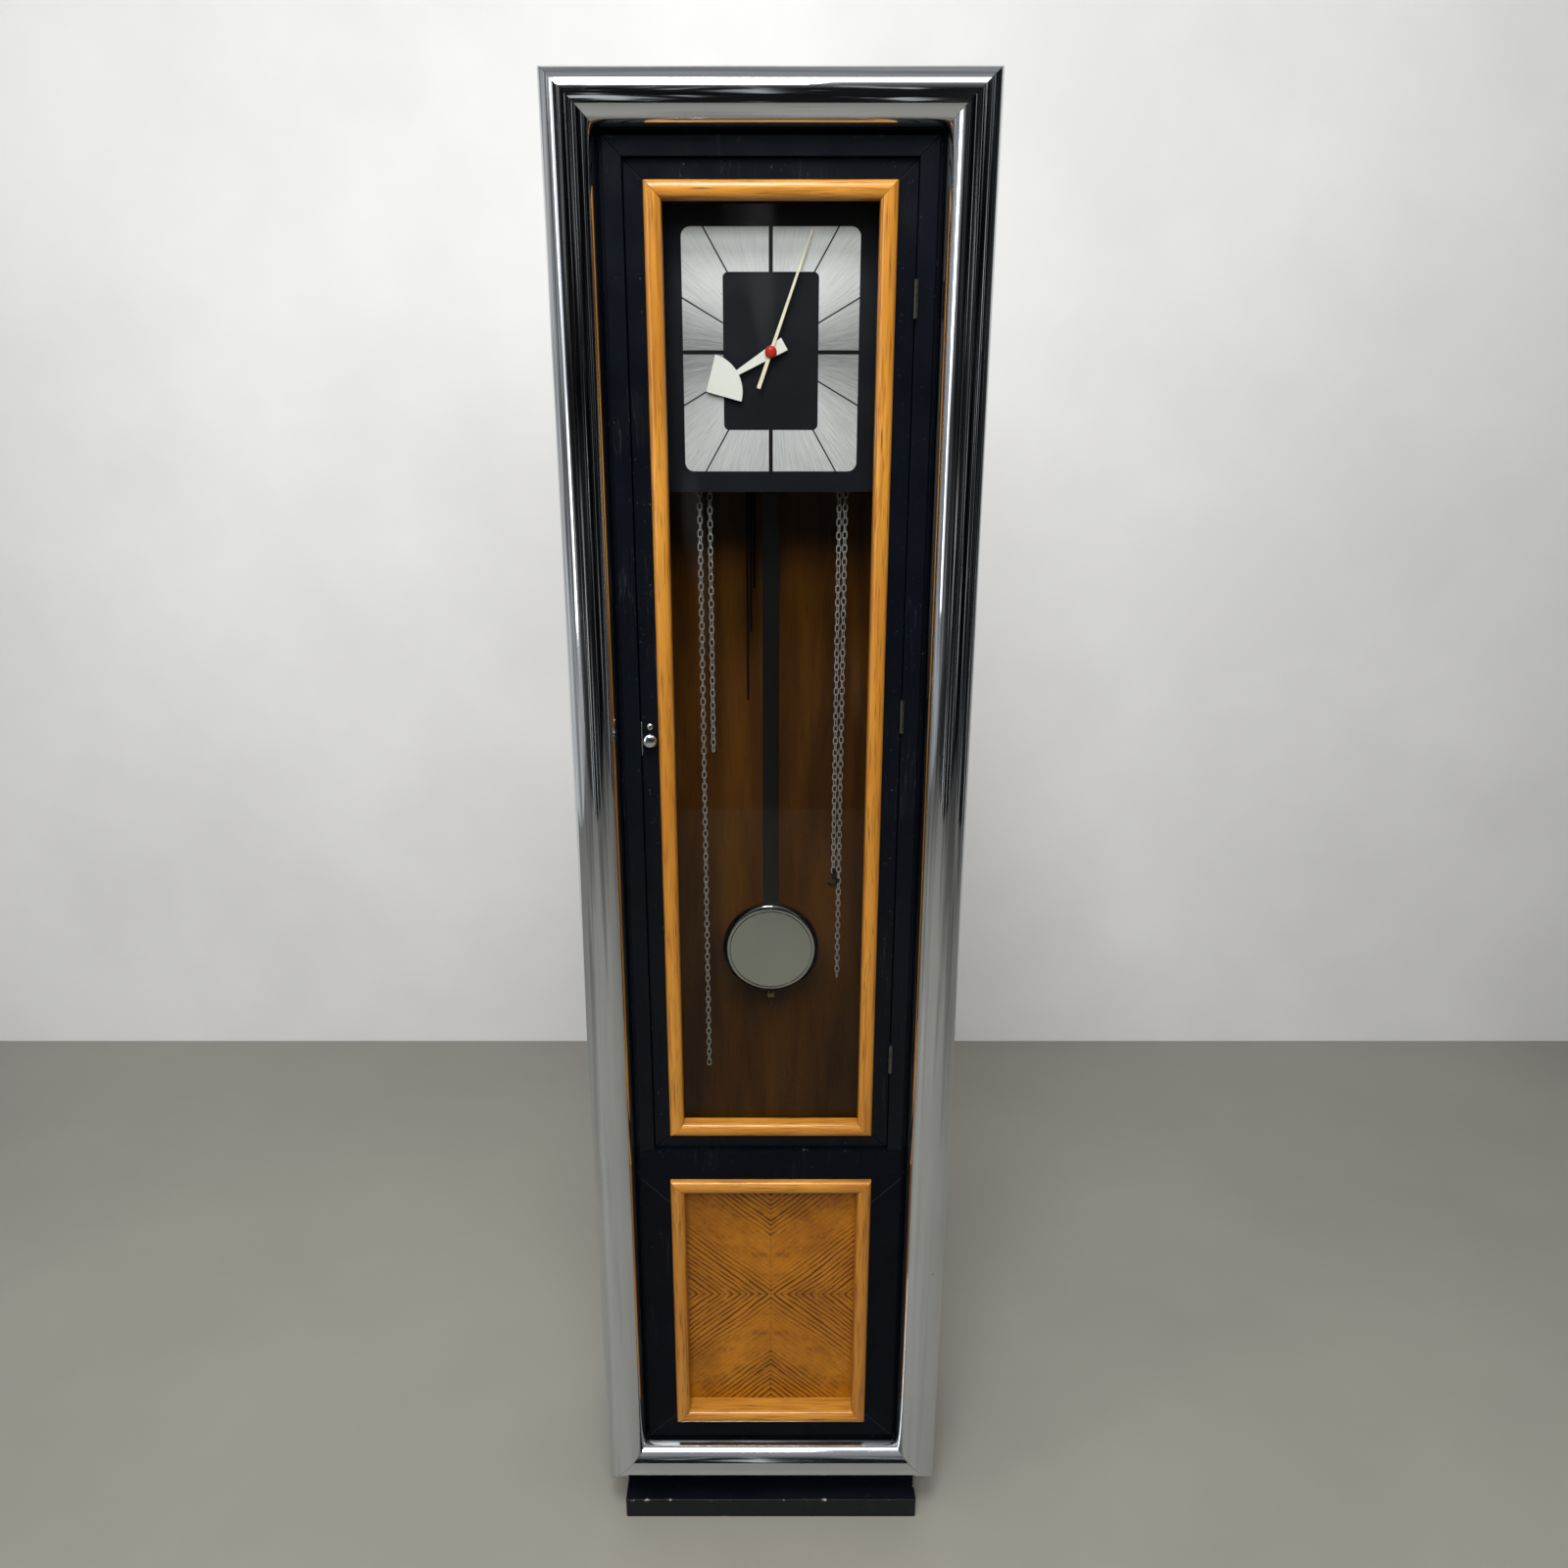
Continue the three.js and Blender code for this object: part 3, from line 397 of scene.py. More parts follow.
def matched_veneer():
    """Four leaves of oak veneer whose slanting grain mirrors across both centre lines of the panel."""
    low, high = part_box("lower_panel")
    middle = (low + high) / 2
    slant = math.radians(41)
    finish = Finish("matched_veneer", Coat_Weight=0.15, Coat_Roughness=0.2, Specular_IOR_Level=0.25)
    x, _, z = finish.split()[:3]
    # A slow wander keeps the lines from being ruler-straight, and differs a little from leaf to leaf.
    wander = finish.times(finish.minus(finish.noise(9, detail=2), 0.5), 0.012)
    right = finish.math("ABSOLUTE", finish.minus(x, middle.x))
    up = finish.math("ABSOLUTE", finish.minus(z, middle.z - 0.002))
    across = finish.minus(finish.times(up, math.cos(slant)),
                         finish.times(right, math.sin(slant)))
    across = finish.plus(across, wander)
    along = finish.plus(finish.times(right, math.cos(slant)),
                        finish.times(up, math.sin(slant)))
    # Dark ring lines stand a few millimetres apart, a little unevenly, and break up into short strokes.
    uneven = finish.noise(60, finish.join(across, finish.times(along, 0.12), 0.0), detail=2)
    phase = finish.plus(finish.times(across, 2 * math.pi / 0.0062),
                        finish.times(uneven, 9.0))
    wave = finish.math("SINE", phase)
    stroke_place = finish.join(across, finish.times(along, 0.08), 0.0)
    strokes = finish.noise(330, stroke_place, detail=3, roughness=0.7)
    rings = finish.plus(finish.times(wave, 0.3), strokes)
    pores = finish.noise(900, finish.join(across, finish.times(along, 0.05), 0.0), detail=2)
    fleck = finish.noise(240, finish.join(across, finish.times(along, 0.35), 0.0), detail=2)
    cloud_place = finish.join(across, finish.times(along, 0.5), 0.0)
    cloud = finish.noise(55, cloud_place, detail=4, roughness=0.7)
    # A quieter, mottled band lies between the two groups of ring lines.
    edge = finish.plus(across, finish.times(finish.minus(cloud, 0.5), 0.05))
    plain = finish.minus(1.0, finish.math("MULTIPLY",
        finish.remap(edge, 0.002, 0.02), finish.remap(edge, 0.078, 0.06)))
    lines = finish.times(finish.remap(rings, 0.52, 0.78), finish.remap(plain, 0.0, 1.0, 0.12, 1.0))
    mottle = finish.times(finish.remap(cloud, 0.5, 0.68), finish.remap(plain, 1.0, 0.0, 0.25, 1.0))
    tone = finish.remap(finish.noise(16, detail=3), 0.35, 0.7)
    light = finish.mix(tone, srgb(176, 112, 22), srgb(150, 90, 14))
    color = finish.mix(finish.times(mottle, 0.75), light, srgb(112, 62, 12))
    color = finish.mix(finish.times(lines, 0.95), color, srgb(72, 35, 4))
    color = finish.mix(finish.remap(pores, 0.58, 0.7, 0.0, 0.55), color, srgb(84, 44, 10))
    color = finish.mix(finish.remap(fleck, 0.6, 0.75, 0.0, 0.4), color, srgb(190, 128, 48))
    seam = finish.math("MINIMUM", right, up)
    color = finish.mix(finish.remap(seam, 0.0006, 0.0002, 0.0, 0.5), color, srgb(70, 36, 8))
    finish.color(color)
    finish.rough(finish.remap(rings, 0.3, 0.7, 0.3, 0.42))
    finish.bump(finish.minus(rings, finish.remap(pores, 0.6, 0.72)), 0.0002, 0.4)
    return finish.material


def board_wood(name, light, dark):
    """A stained board with upright figure, for the back panel and the seat board."""
    finish = Finish(name)
    x, y, z = finish.split()[:3]
    figure_place = finish.join(x, finish.times(z, 0.09), y)
    figure = finish.noise(26, figure_place, detail=4, roughness=0.6, distortion=0.6)
    _, pores, drift = grain_lines(finish, x, z, y)
    color = finish.mix(finish.remap(figure, 0.36, 0.66), light, dark)
    color = finish.mix(finish.remap(drift, 0.4, 0.7, 0.0, 0.4), color, tuple(c * 0.6 for c in dark))
    color = finish.mix(finish.remap(pores, 0.58, 0.72, 0.0, 0.5), color, tuple(c * 0.4 for c in dark))
    finish.color(color)
    finish.rough(finish.remap(pores, 0.4, 0.7, 0.42, 0.6))
    finish.bump(pores, 0.0002, 0.3)
    return finish.material


def pane():
    """Clear glass: light passes straight through, and the surface mirrors more at a low angle."""
    finish = Finish("clear_glass")
    smear_and_painted_reflection = finish.remap(finish.noise(6, detail=4, roughness=0.65), 0.45, 0.8, 0.0, 0.06)
    clear = finish.add("ShaderNodeBsdfTransparent", {"Color": (0.975, 0.985, 0.98)}).outputs[0]
    mirror = finish.add("ShaderNodeBsdfGlossy", {"Color": (1, 1, 1), "Roughness": smear_and_painted_reflection}).outputs[0]
    shine = finish.add("ShaderNodeFresnel", {"IOR": 1.22}).outputs[0]
    mixed = finish.add("ShaderNodeMixShader", {0: shine, 1: clear, 2: mirror})
    output = next(n for n in finish.tree.nodes if n.type == "OUTPUT_MATERIAL")
    finish.tree.links.new(mixed.outputs[0], output.inputs["Surface"])
    finish.tree.nodes.remove(finish.shader)
    return finish.material


def brushed_dial(centre):
    """Silver brushed outwards from the middle, with a painted sheen in broad fans and twelve black bars;
    the quarters are thicker.
    """
    finish = Finish("brushed_dial")
    x, _, z = finish.split()[:3]
    right = finish.minus(x, centre.x)
    up = finish.minus(z, centre.z)
    angle = finish.math("ARCTAN2", right, up)
    square = finish.plus(finish.times(right, right), finish.times(up, up))
    radius = finish.math("SQRT", square)
    # Brushing: streaks that are fine round the dial and long along each ray.
    ray = finish.join(finish.math("SINE", angle), finish.math("COSINE", angle), finish.times(radius, 0.3))
    streaks = finish.noise(110, ray, detail=3, roughness=0.75)
    # Painted sheen and painted light: broad fans of lighter and darker silver painted into the colour,
    # lightest between the vertical and the diagonals, darkest at the sides, and lighter towards the top.
    twice = finish.times(finish.math("COSINE", finish.times(angle, 2.0)), 0.3)
    four = finish.times(finish.math("COSINE", finish.times(angle, 4.0)), -0.14)
    painted_sheen = finish.plus(finish.plus(twice, four), finish.times(up, 1.1))
    tone = finish.math("ADD", painted_sheen, finish.remap(streaks, 0.3, 0.7, 0.44, 0.86), clamp=True)
    silver = finish.mix(tone, srgb(120, 120, 120), srgb(238, 239, 239))
    quarters = dial_bars(finish, angle, radius, 90, 0.0021)
    hours = dial_bars(finish, angle, radius, 30, 0.0007)
    bars = finish.math("MAXIMUM", quarters, hours)
    finish.color(finish.mix(bars, silver, srgb(16, 17, 20)))
    finish.put(finish.shader.inputs["Metallic"], finish.remap(bars, 0.0, 1.0, 0.2, 0.0))
    finish.rough(finish.remap(streaks, 0.3, 0.7, 0.3, 0.42))
    finish.bump(streaks, 0.00005, 0.4)
    return finish.material


def dial_bars(finish, angle, radius, every, half_width):
    """1 within half_width of a ray at each multiple of every degrees, and 0 elsewhere."""
    step = math.radians(every)
    nearest = finish.times(finish.math("ROUND", finish.math("DIVIDE", angle, step)), step)
    off = finish.times(radius, finish.math("SINE", finish.minus(angle, nearest)))
    return finish.remap(finish.math("ABSOLUTE", off), half_width + 0.0002, half_width)


def metal(name, color, roughness, metallic=1.0, mottle=0.2):
    """Plain metal with tarnish in patches and fine handling marks."""
    finish = Finish(name, Metallic=metallic)
    patches = finish.remap(finish.noise(45, detail=4, roughness=0.65), 0.4, 0.72)
    finish.color(finish.mix(finish.times(patches, mottle), color, tuple(c * 0.45 for c in color)))
    finish.rough(finish.remap(patches, 0.0, 1.0, roughness, min(1.0, roughness + 0.18)))
    finish.bump(finish.noise(900, detail=2), 0.00004, 0.3)
    return finish.material


def enamel(name, color, roughness):
    """Sprayed paint with a faint orange-peel surface and slight yellowing."""
    finish = Finish(name)
    age = finish.remap(finish.noise(30, detail=3), 0.4, 0.75)
    yellowed = tuple(c * s for c, s in zip(color, (0.86, 0.8, 0.66)))
    finish.color(finish.mix(finish.times(age, 0.3), color, yellowed))
    finish.rough(finish.remap(age, 0.0, 1.0, roughness, roughness + 0.12))
    finish.bump(finish.noise(650, detail=2), 0.00005, 0.3)
    return finish.material


# ---------------------------------------------------------------- mesh helpers

def plane(name, corners):
    mesh = bpy.data.meshes.new(name)
    mesh.from_pydata(corners, [], [tuple(range(len(corners)))])
    piece = bpy.data.objects.new(name, mesh)
    bpy.context.collection.objects.link(piece)
    return piece


def new_piece(name, points, faces, material, body, stands_for=(), sharp=35):
    """A smooth-shaded mesh piece in the shared frame, with its facing made consistent."""
    mesh = bpy.data.meshes.new(name)
    mesh.from_pydata([tuple(p) for p in points], [], faces)
    mesh.update()
    work = bmesh.new()
    work.from_mesh(mesh)
    bmesh.ops.recalc_face_normals(work, faces=work.faces)
    work.to_mesh(mesh)
    work.free()
    for polygon in mesh.polygons:
        polygon.use_smooth = True
    mesh.set_sharp_from_angle(angle=math.radians(sharp))
    mesh.materials.append(material)
    piece = bpy.data.objects.new(name, mesh)
    bpy.context.collection.objects.link(piece)
    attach(piece, body)
    if stands_for:
        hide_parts(*stands_for)
    return piece


def soften(piece, width):
    bevel = piece.modifiers.new("soft_edges", "BEVEL")
    bevel.width = width
    bevel.segments = 2
    bevel.limit_method = "ANGLE"
    bevel.angle_limit = math.radians(40)
    bevel.harden_normals = True
    return piece


def sweep_faces(rings, ring_size, closed_run=False):
    """Quads between neighbouring rings of points; each ring is a closed loop."""
    faces = []
    for r in range(rings if closed_run else rings - 1):
        near, far = r * ring_size, ((r + 1) % rings) * ring_size
        for i in range(ring_size):
            j = (i + 1) % ring_size
            faces.append((near + i, near + j, far + j, far + i))
    return faces


def turned(profile, centre, axis="Y", segments=64):
    """Points and faces of a turned body. The profile is [radius, height] pairs from axis to axis."""
    points, faces = [], []
    middle = profile[1:-1]
    for i in range(segments):
        angle = 2 * math.pi * i / segments
        for radius, height in middle:
            points.append(on_axis(radius * math.cos(angle), radius * math.sin(angle), height, centre, axis))
    size = len(middle)
    for i in range(segments):
        j = (i + 1) % segments
        for k in range(size - 1):
            faces.append((i * size + k, i * size + k + 1, j * size + k + 1, j * size + k))
    for height, k in ((profile[0][1], 0), (profile[-1][1], size - 1)):
        points.append(on_axis(0, 0, height, centre, axis))
        tip = len(points) - 1
        for i in range(segments):
            j = (i + 1) % segments
            faces.append((tip, i * size + k, j * size + k))
    return points, faces


def on_axis(a, b, height, centre, axis):
    offset = Vector((a, height, b)) if axis == "Y" else Vector((a, b, height))
    return Vector(centre) + offset


def joined(*bodies):
    """Several bodies' points and faces as one list of each."""
    points, faces = [], []
    for more_points, more_faces in bodies:
        start = len(points)
        points.extend(more_points)
        faces.extend(tuple(start + k for k in face) for face in more_faces)
    return points, faces


def brick(low, high):
    """Points and faces of a box."""
    points = [(x, y, z) for x in (low[0], high[0]) for y in (low[1], high[1]) for z in (low[2], high[2])]
    faces = [(0, 1, 3, 2), (4, 6, 7, 5), (0, 4, 5, 1), (2, 3, 7, 6), (0, 2, 6, 4), (1, 5, 7, 3)]
    return points, faces


def wire(route, radius, sides=10, closed=False):
    """A round wire along a list of points."""
    points = []
    count = len(route)
    for i, here in enumerate(route):
        before = route[i - 1] if closed or i else here
        after = route[(i + 1) % count] if closed or i < count - 1 else here
        along = (after - before).normalized()
        side = along.cross(Vector((0, 1, 0)))
        if side.length < 0.2:
            side = along.cross(Vector((1, 0, 0)))
        side.normalize()
        up = along.cross(side)
        for k in range(sides):
            angle = 2 * math.pi * k / sides
            points.append(here + radius * (math.cos(angle) * side + math.sin(angle) * up))
    faces = sweep_faces(count, sides, closed)
    if not closed:
        faces += [tuple(range(sides)), tuple(range((count - 1) * sides, count * sides))]
    return points, faces


# ---------------------------------------------------------------- frames made of mitred sticks

def frame_of(prefix):
    """Inner edge, width and depth of a four-sided frame, read from its CAD nodes."""
    left, bottom, top = (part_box(f"{prefix}_{side}") for side in ("left", "bottom", "top"))
    return {
        "half": -left[1].x,
        "low": bottom[1].z,
        "high": top[0].z,
        "width": left[1].x - left[0].x,
        "front": left[0].y,
        "back": left[1].y,
    }


def stick(side, frame_size, profile, gap=0.0002):
    """One mitred side. The profile is a closed list of (out, y) pairs, out from the frame's inner edge."""
    half, low, high = frame_size["half"], frame_size["low"], frame_size["high"]
    points = []
    for end in (-1, 1):
        for out, y in profile:
            if side in ("left", "right"):
                run = (low - out + gap) if end < 0 else (high + out - gap)
                points.append((math.copysign(half + out, -1 if side == "left" else 1), y, run))
            else:
                run = end * (half + out - gap)
                points.append((run, y, high + out if side == "top" else low - out))
    size = len(profile)
    faces = sweep_faces(2, size) + [tuple(range(size)), tuple(range(size, 2 * size))]
    return points, faces


def half_round(width, rise, base, steps):
    """Points of half an ellipse from (0, base) to (width, base) that rises towards -Y."""
    points = []
    for i in range(steps + 1):
        angle = math.pi * i / steps
        points.append((width / 2 * (1 - math.cos(angle)), base - rise * math.sin(angle)))
    return points


def make_chrome_trim():
    size = frame_of("chrome_trim")
    profile = half_round(size["width"], size["back"] - size["front"], size["back"], 96)
    # The trim chrome carries painted reflections: dark lengthwise streaks in its colour, stronger on the
    # uprights.
    upright = chrome("trim_chrome_upright", streak=(1, 1, 0.04), painted_reflection=0.8)
    level = chrome("trim_chrome_level", streak=(0.04, 1, 1), painted_reflection=0.35)
    for side in SIDES:
        material = upright if side in ("left", "right") else level
        node = f"chrome_trim_{side}"
        points, faces = stick(side, size, profile)
        new_piece(f"trim_{side}", points, faces, material, "case", [node])


def make_moulding(prefix, board, body, upright, level):
    """Half-round oak on a low foot, with a tongue that lines the opening behind it."""
    size = frame_of(prefix)
    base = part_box(board)[0].y - 0.3 * MM
    rise = base - size["front"]
    foot = 0.3 * rise
    tongue = 5.7 * MM
    arc = half_round(size["width"], rise - foot, base - foot, 40)
    profile = [(0, size["back"])] + arc + [(size["width"], base), (tongue, base), (tongue, size["back"])]
    for side in SIDES:
        material = upright if side in ("left", "right") else level
        points, faces = stick(side, size, profile)
        new_piece(f"{prefix}_oak_{side}", points, faces, material, body, [f"{prefix}_{side}"])


# ---------------------------------------------------------------- CAD nodes that stay

def dress(material, *names, edge=0.0):
    """Gives CAD nodes a material, and a small round on their edges."""
    for name in names:
        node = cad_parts[name]
        node.data.materials.clear()
        node.data.materials.append(material)
        if edge:
            weld = node.modifiers.new("weld", "WELD")
            weld.merge_threshold = 0.00002
            soften(node, edge)


def dress_cad():
    black = lacquer()
    for name in ("plinth_slab", "case_bottom"):
        dress(lacquer(f"{name}_lacquer", name, shine=0.3), name, edge=0.0018)
    dress(black, "plinth_riser", "case_top", "case_side_left", "case_side_right", edge=0.0012)
    dress(black, "face_stile_left", "face_stile_right", "face_rail_top", edge=0.0006)
    dull_black = lacquer("lower_frame_lacquer", "lower_frame", shine=0.07, mitred=True)
    dress(dull_black, "lower_frame", edge=0.0014)
    dress(black, "door_stile_left", "door_stile_right", "door_rail_top", "door_rail_bottom", edge=0.0008)
    dress(matched_veneer(), "lower_panel")
    dress(board_wood("back_panel_wood", srgb(104, 61, 8), srgb(68, 37, 4)), "case_back")
    dress(board_wood("seat_board_wood", srgb(150, 105, 62), srgb(112, 74, 40)), "seat_board")
    dress(pane(), "door_glass")
    dress(enamel("dial_black", srgb(20, 22, 28), 0.38), "dial_plate")
    brass = metal("brass", srgb(206, 164, 86), 0.28)
    dress(brass, "movement_front_plate", "movement_back_plate", "great_wheel", "strike_great_wheel",
          "intermediate_wheel", "centre_wheel", "third_wheel", "escape_wheel")
    dress(metal("steel", srgb(170, 172, 176), 0.32), "anchor", "strike_hammer")
    dark = metal("blackened_steel", srgb(30, 30, 33), 0.42, 0.7)
    dress(dark, "chime_rods")
    worn_steel = metal("hinge_steel", srgb(112, 110, 106), 0.26, 0.95, 0.85)
    for place in ("top", "middle", "bottom"):
        dress(worn_steel, f"hinge_{place}_frame_leaf", f"hinge_{place}_door_leaf", edge=0.0003)


# ---------------------------------------------------------------- chains

LINK = {"length": 10.8 * MM, "width": 6.7 * MM, "wire": 1.5 * MM}
CHAIN_Y = -0.016
SPROCKET_RADIUS = 0.014
SLOT_Z = 1.402


def chain_route(axle, left, right):
    """Up the left run, over the sprocket and down the right run. Each run is (x, lowest z)."""
    route = [Vector((left[0], CHAIN_Y, left[1])), Vector((left[0], CHAIN_Y, SLOT_Z))]
    steps = 24
    for i in range(steps + 1):
        angle = math.pi * (1 - i / steps)
        route.append(Vector((axle[0] + SPROCKET_RADIUS * math.cos(angle), CHAIN_Y,
                             axle[1] + SPROCKET_RADIUS * math.sin(angle))))
    route += [Vector((right[0], CHAIN_Y, SLOT_Z)), Vector((right[0], CHAIN_Y, right[1]))]
    return route


def link_loop(centre, along, across):
    """Centre line of one link: two straight sides and two round ends."""
    end = LINK["width"] / 2 - LINK["wire"] / 2
    straight = LINK["length"] / 2 - LINK["wire"] / 2 - end
    loop = []
    for turn in (0, 1):
        for i in range(7):
            angle = math.pi * (turn + i / 6)
            shift = straight if turn == 0 else -straight
            loop.append(centre + along * (shift + end * math.sin(angle)) + across * (end * math.cos(angle)))
    return loop


def make_chain(name, route, material):
    pitch = LINK["length"] - 2 * LINK["wire"]
    bodies = []
    travelled, station, number = 0.0, 0, 0
    lengths = [(b - a).length for a, b in zip(route, route[1:])]
    while station < len(lengths):
        while station < len(lengths) and travelled > lengths[station]:
            travelled -= lengths[station]
            station += 1
        if station == len(lengths):
            break
        along = (route[station + 1] - route[station]).normalized()
        centre = route[station] + along * travelled
        flat = along.cross(Vector((0, 1, 0))).normalized()
        twist = math.radians((90 if number % 2 else 0) + 24 + random.uniform(-9, 9))
        across = flat * math.cos(twist) + along.cross(flat) * math.sin(twist)
        bodies.append(wire(link_loop(centre, along, across), LINK["wire"] / 2, 7, closed=True))
        travelled += pitch
        number += 1
    points, faces = joined(*bodies)
    return new_piece(f"{name}_links", points, faces, material, "case", [name])


def chain_hook(top, material):
    """The open hook that a weight hangs from."""
    radius = 5.6 * MM
    route = [top + Vector((0, 0, 3 * MM)), top + Vector((0, 0, -4 * MM))]
    for i in range(13):
        angle = math.radians(100 - 275 * i / 12)
        route.append(top + Vector((radius * math.cos(angle), 0, -13 * MM + radius * math.sin(angle))))
    eye = link_loop(top, Vector((0, 0, 1)), Vector((1, 0, 0)))
    points, faces = joined(wire(route, 1.9 * MM, 12), wire(eye, 1.2 * MM, 8, True))
    new_piece("chain_hook", points, faces, material, "case")


def make_chains():
    material = metal("chain_nickel", srgb(206, 205, 200), 0.3, 0.55, 0.6)
    strike_axle = wheel_axle("strike_great_wheel")
    time_axle = wheel_axle("great_wheel")
    make_chain("strike_chain", chain_route(strike_axle, (-0.0832, 0.657), (-0.0713, 1.091)), material)
    make_chain("time_chain", chain_route(time_axle, (0.080, 0.935), (0.087, 0.786)), material)
    chain_hook(Vector((0.080, CHAIN_Y, 0.932)), enamel("hook_black", srgb(10, 10, 11), 0.45))


def wheel_axle(node):
    low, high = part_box(node)
    return ((low.x + high.x) / 2, (low.z + high.z) / 2)


# ---------------------------------------------------------------- dial, hands and pendulum

def rounded_outline(width, height, corner, centre, steps=12):
    points = []
    for quarter, (sx, sz) in enumerate(((1, 1), (-1, 1), (-1, -1), (1, -1))):
        for i in range(steps + 1):
            angle = math.pi / 2 * (quarter + i / steps)
            points.append((centre.x + sx * (width / 2 - corner) + corner * math.cos(angle),
                           centre.z + sz * (height / 2 - corner) + corner * math.sin(angle)))
    return points


def make_dial_ring():
    low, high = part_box("dial_ring")
    centre = (low + high) / 2
    outer = rounded_outline(high.x - low.x, high.z - low.z, 10 * MM, centre)
    inner = rounded_outline(104 * MM, 163 * MM, 6 * MM, centre)
    points = [(x, y, z) for y in (low.y, high.y) for loop in (outer, inner) for x, z in loop]
    count = len(outer)
    faces = []
    for i in range(count):
        j = (i + 1) % count
        front_outer, front_inner, back_outer, back_inner = (k * count for k in range(4))
        faces.append((front_outer + i, front_outer + j, front_inner + j, front_inner + i))
        faces.append((back_outer + j, back_outer + i, back_inner + i, back_inner + j))
        faces.append((front_outer + j, front_outer + i, back_outer + i, back_outer + j))
        faces.append((front_inner + i, front_inner + j, back_inner + j, back_inner + i))
    new_piece("chapter_ring", points, faces, brushed_dial(centre), "case", ["dial_ring"])
    return centre


def flat_plate(outline, y0, y1):
    """Points and faces of a flat plate with an (x, z) outline."""
    count = len(outline)
    points = [(x, y, z) for y in (y0, y1) for x, z in outline]
    faces = [tuple(range(count)), tuple(range(2 * count - 1, count - 1, -1))]
    for i in range(count):
        j = (i + 1) % count
        faces.append((i, j, count + j, count + i))
    return points, faces


def pointed(outline, centre, degrees):
    """Turns an outline drawn pointing at twelve o'clock to an angle clockwise from it."""
    turn = math.radians(degrees)
    return [(centre.x + x * math.cos(turn) + z * math.sin(turn),
             centre.z - x * math.sin(turn) + z * math.cos(turn)) for x, z in outline]


def make_hands(centre):
    hour_box, minute_box, cap_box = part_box("hour_hand"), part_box("minute_hand"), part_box("hand_cap")
    tip, head, near_half = 82 * MM, 40 * MM, 2.7 * MM
    swing = math.asin(near_half / head)
    left_arc = [-math.pi / 2 - math.pi / 4 + i / 16 * (math.pi / 4 - swing) for i in range(17)]
    outline = [(0, tip)] + [(head * math.cos(a), tip + head * math.sin(a)) for a in left_arc]
    tail = 7.35 * MM
    hour = outline + [(-tail, -17 * MM), (tail, -17 * MM)] + [(-x, z) for x, z in reversed(outline[1:])]
    hour_y = hour_box[0].y
    plate = flat_plate(pointed(hour, centre, 240), hour_y, hour_y + 1 * MM)
    pipe_end = hour_box[1].y - hour_y
    pipe_profile = [(0, 0.5 * MM), (3.6 * MM, 0.5 * MM), (3.6 * MM, pipe_end), (0, pipe_end)]
    pipe = turned(pipe_profile, (centre.x, hour_y, centre.z), segments=32)
    points, faces = joined(plate, pipe)
    soften(new_piece("hour_hand_plate", points, faces, enamel("hand_white", srgb(234, 233, 226), 0.45),
                     "hour_hand", ["hour_hand"]), 0.0002)

    needle = [(-1 * MM, 130 * MM), (-2.15 * MM, -40 * MM), (2.15 * MM, -40 * MM), (1 * MM, 130 * MM)]
    y = minute_box[0].y + 0.4 * MM
    plate = flat_plate(pointed(needle, centre, 19.8), y, y + 0.7 * MM)
    hub_profile = [(0, -0.4 * MM), (4.5 * MM, -0.4 * MM), (4.5 * MM, 1 * MM), (0, 1 * MM)]
    hub = turned(hub_profile, (centre.x, y, centre.z), segments=32)
    points, faces = joined(plate, hub)
    soften(new_piece("minute_hand_plate", points, faces, enamel("hand_cream", srgb(238, 230, 200), 0.45),
                     "centre_arbor", ["minute_hand"]), 0.00015)

    radius = (cap_box[1].x - cap_box[0].x) / 2
    front, back = cap_box[0].y, cap_box[1].y
    dome = [(0, front)] + [(radius * math.sin(a), back - 0.4 * MM - (back - 0.4 * MM - front) * math.cos(a))
                           for a in (math.pi / 2 * i / 10 for i in range(1, 11))]
    dome += [(radius, back), (0, back)]
    points, faces = turned(dome, (centre.x, 0, centre.z), segments=40)
    red = enamel("cap_red", srgb(190, 38, 26), 0.25)
    new_piece("hand_cap_dome", points, faces, red, "centre_arbor", ["hand_cap"])


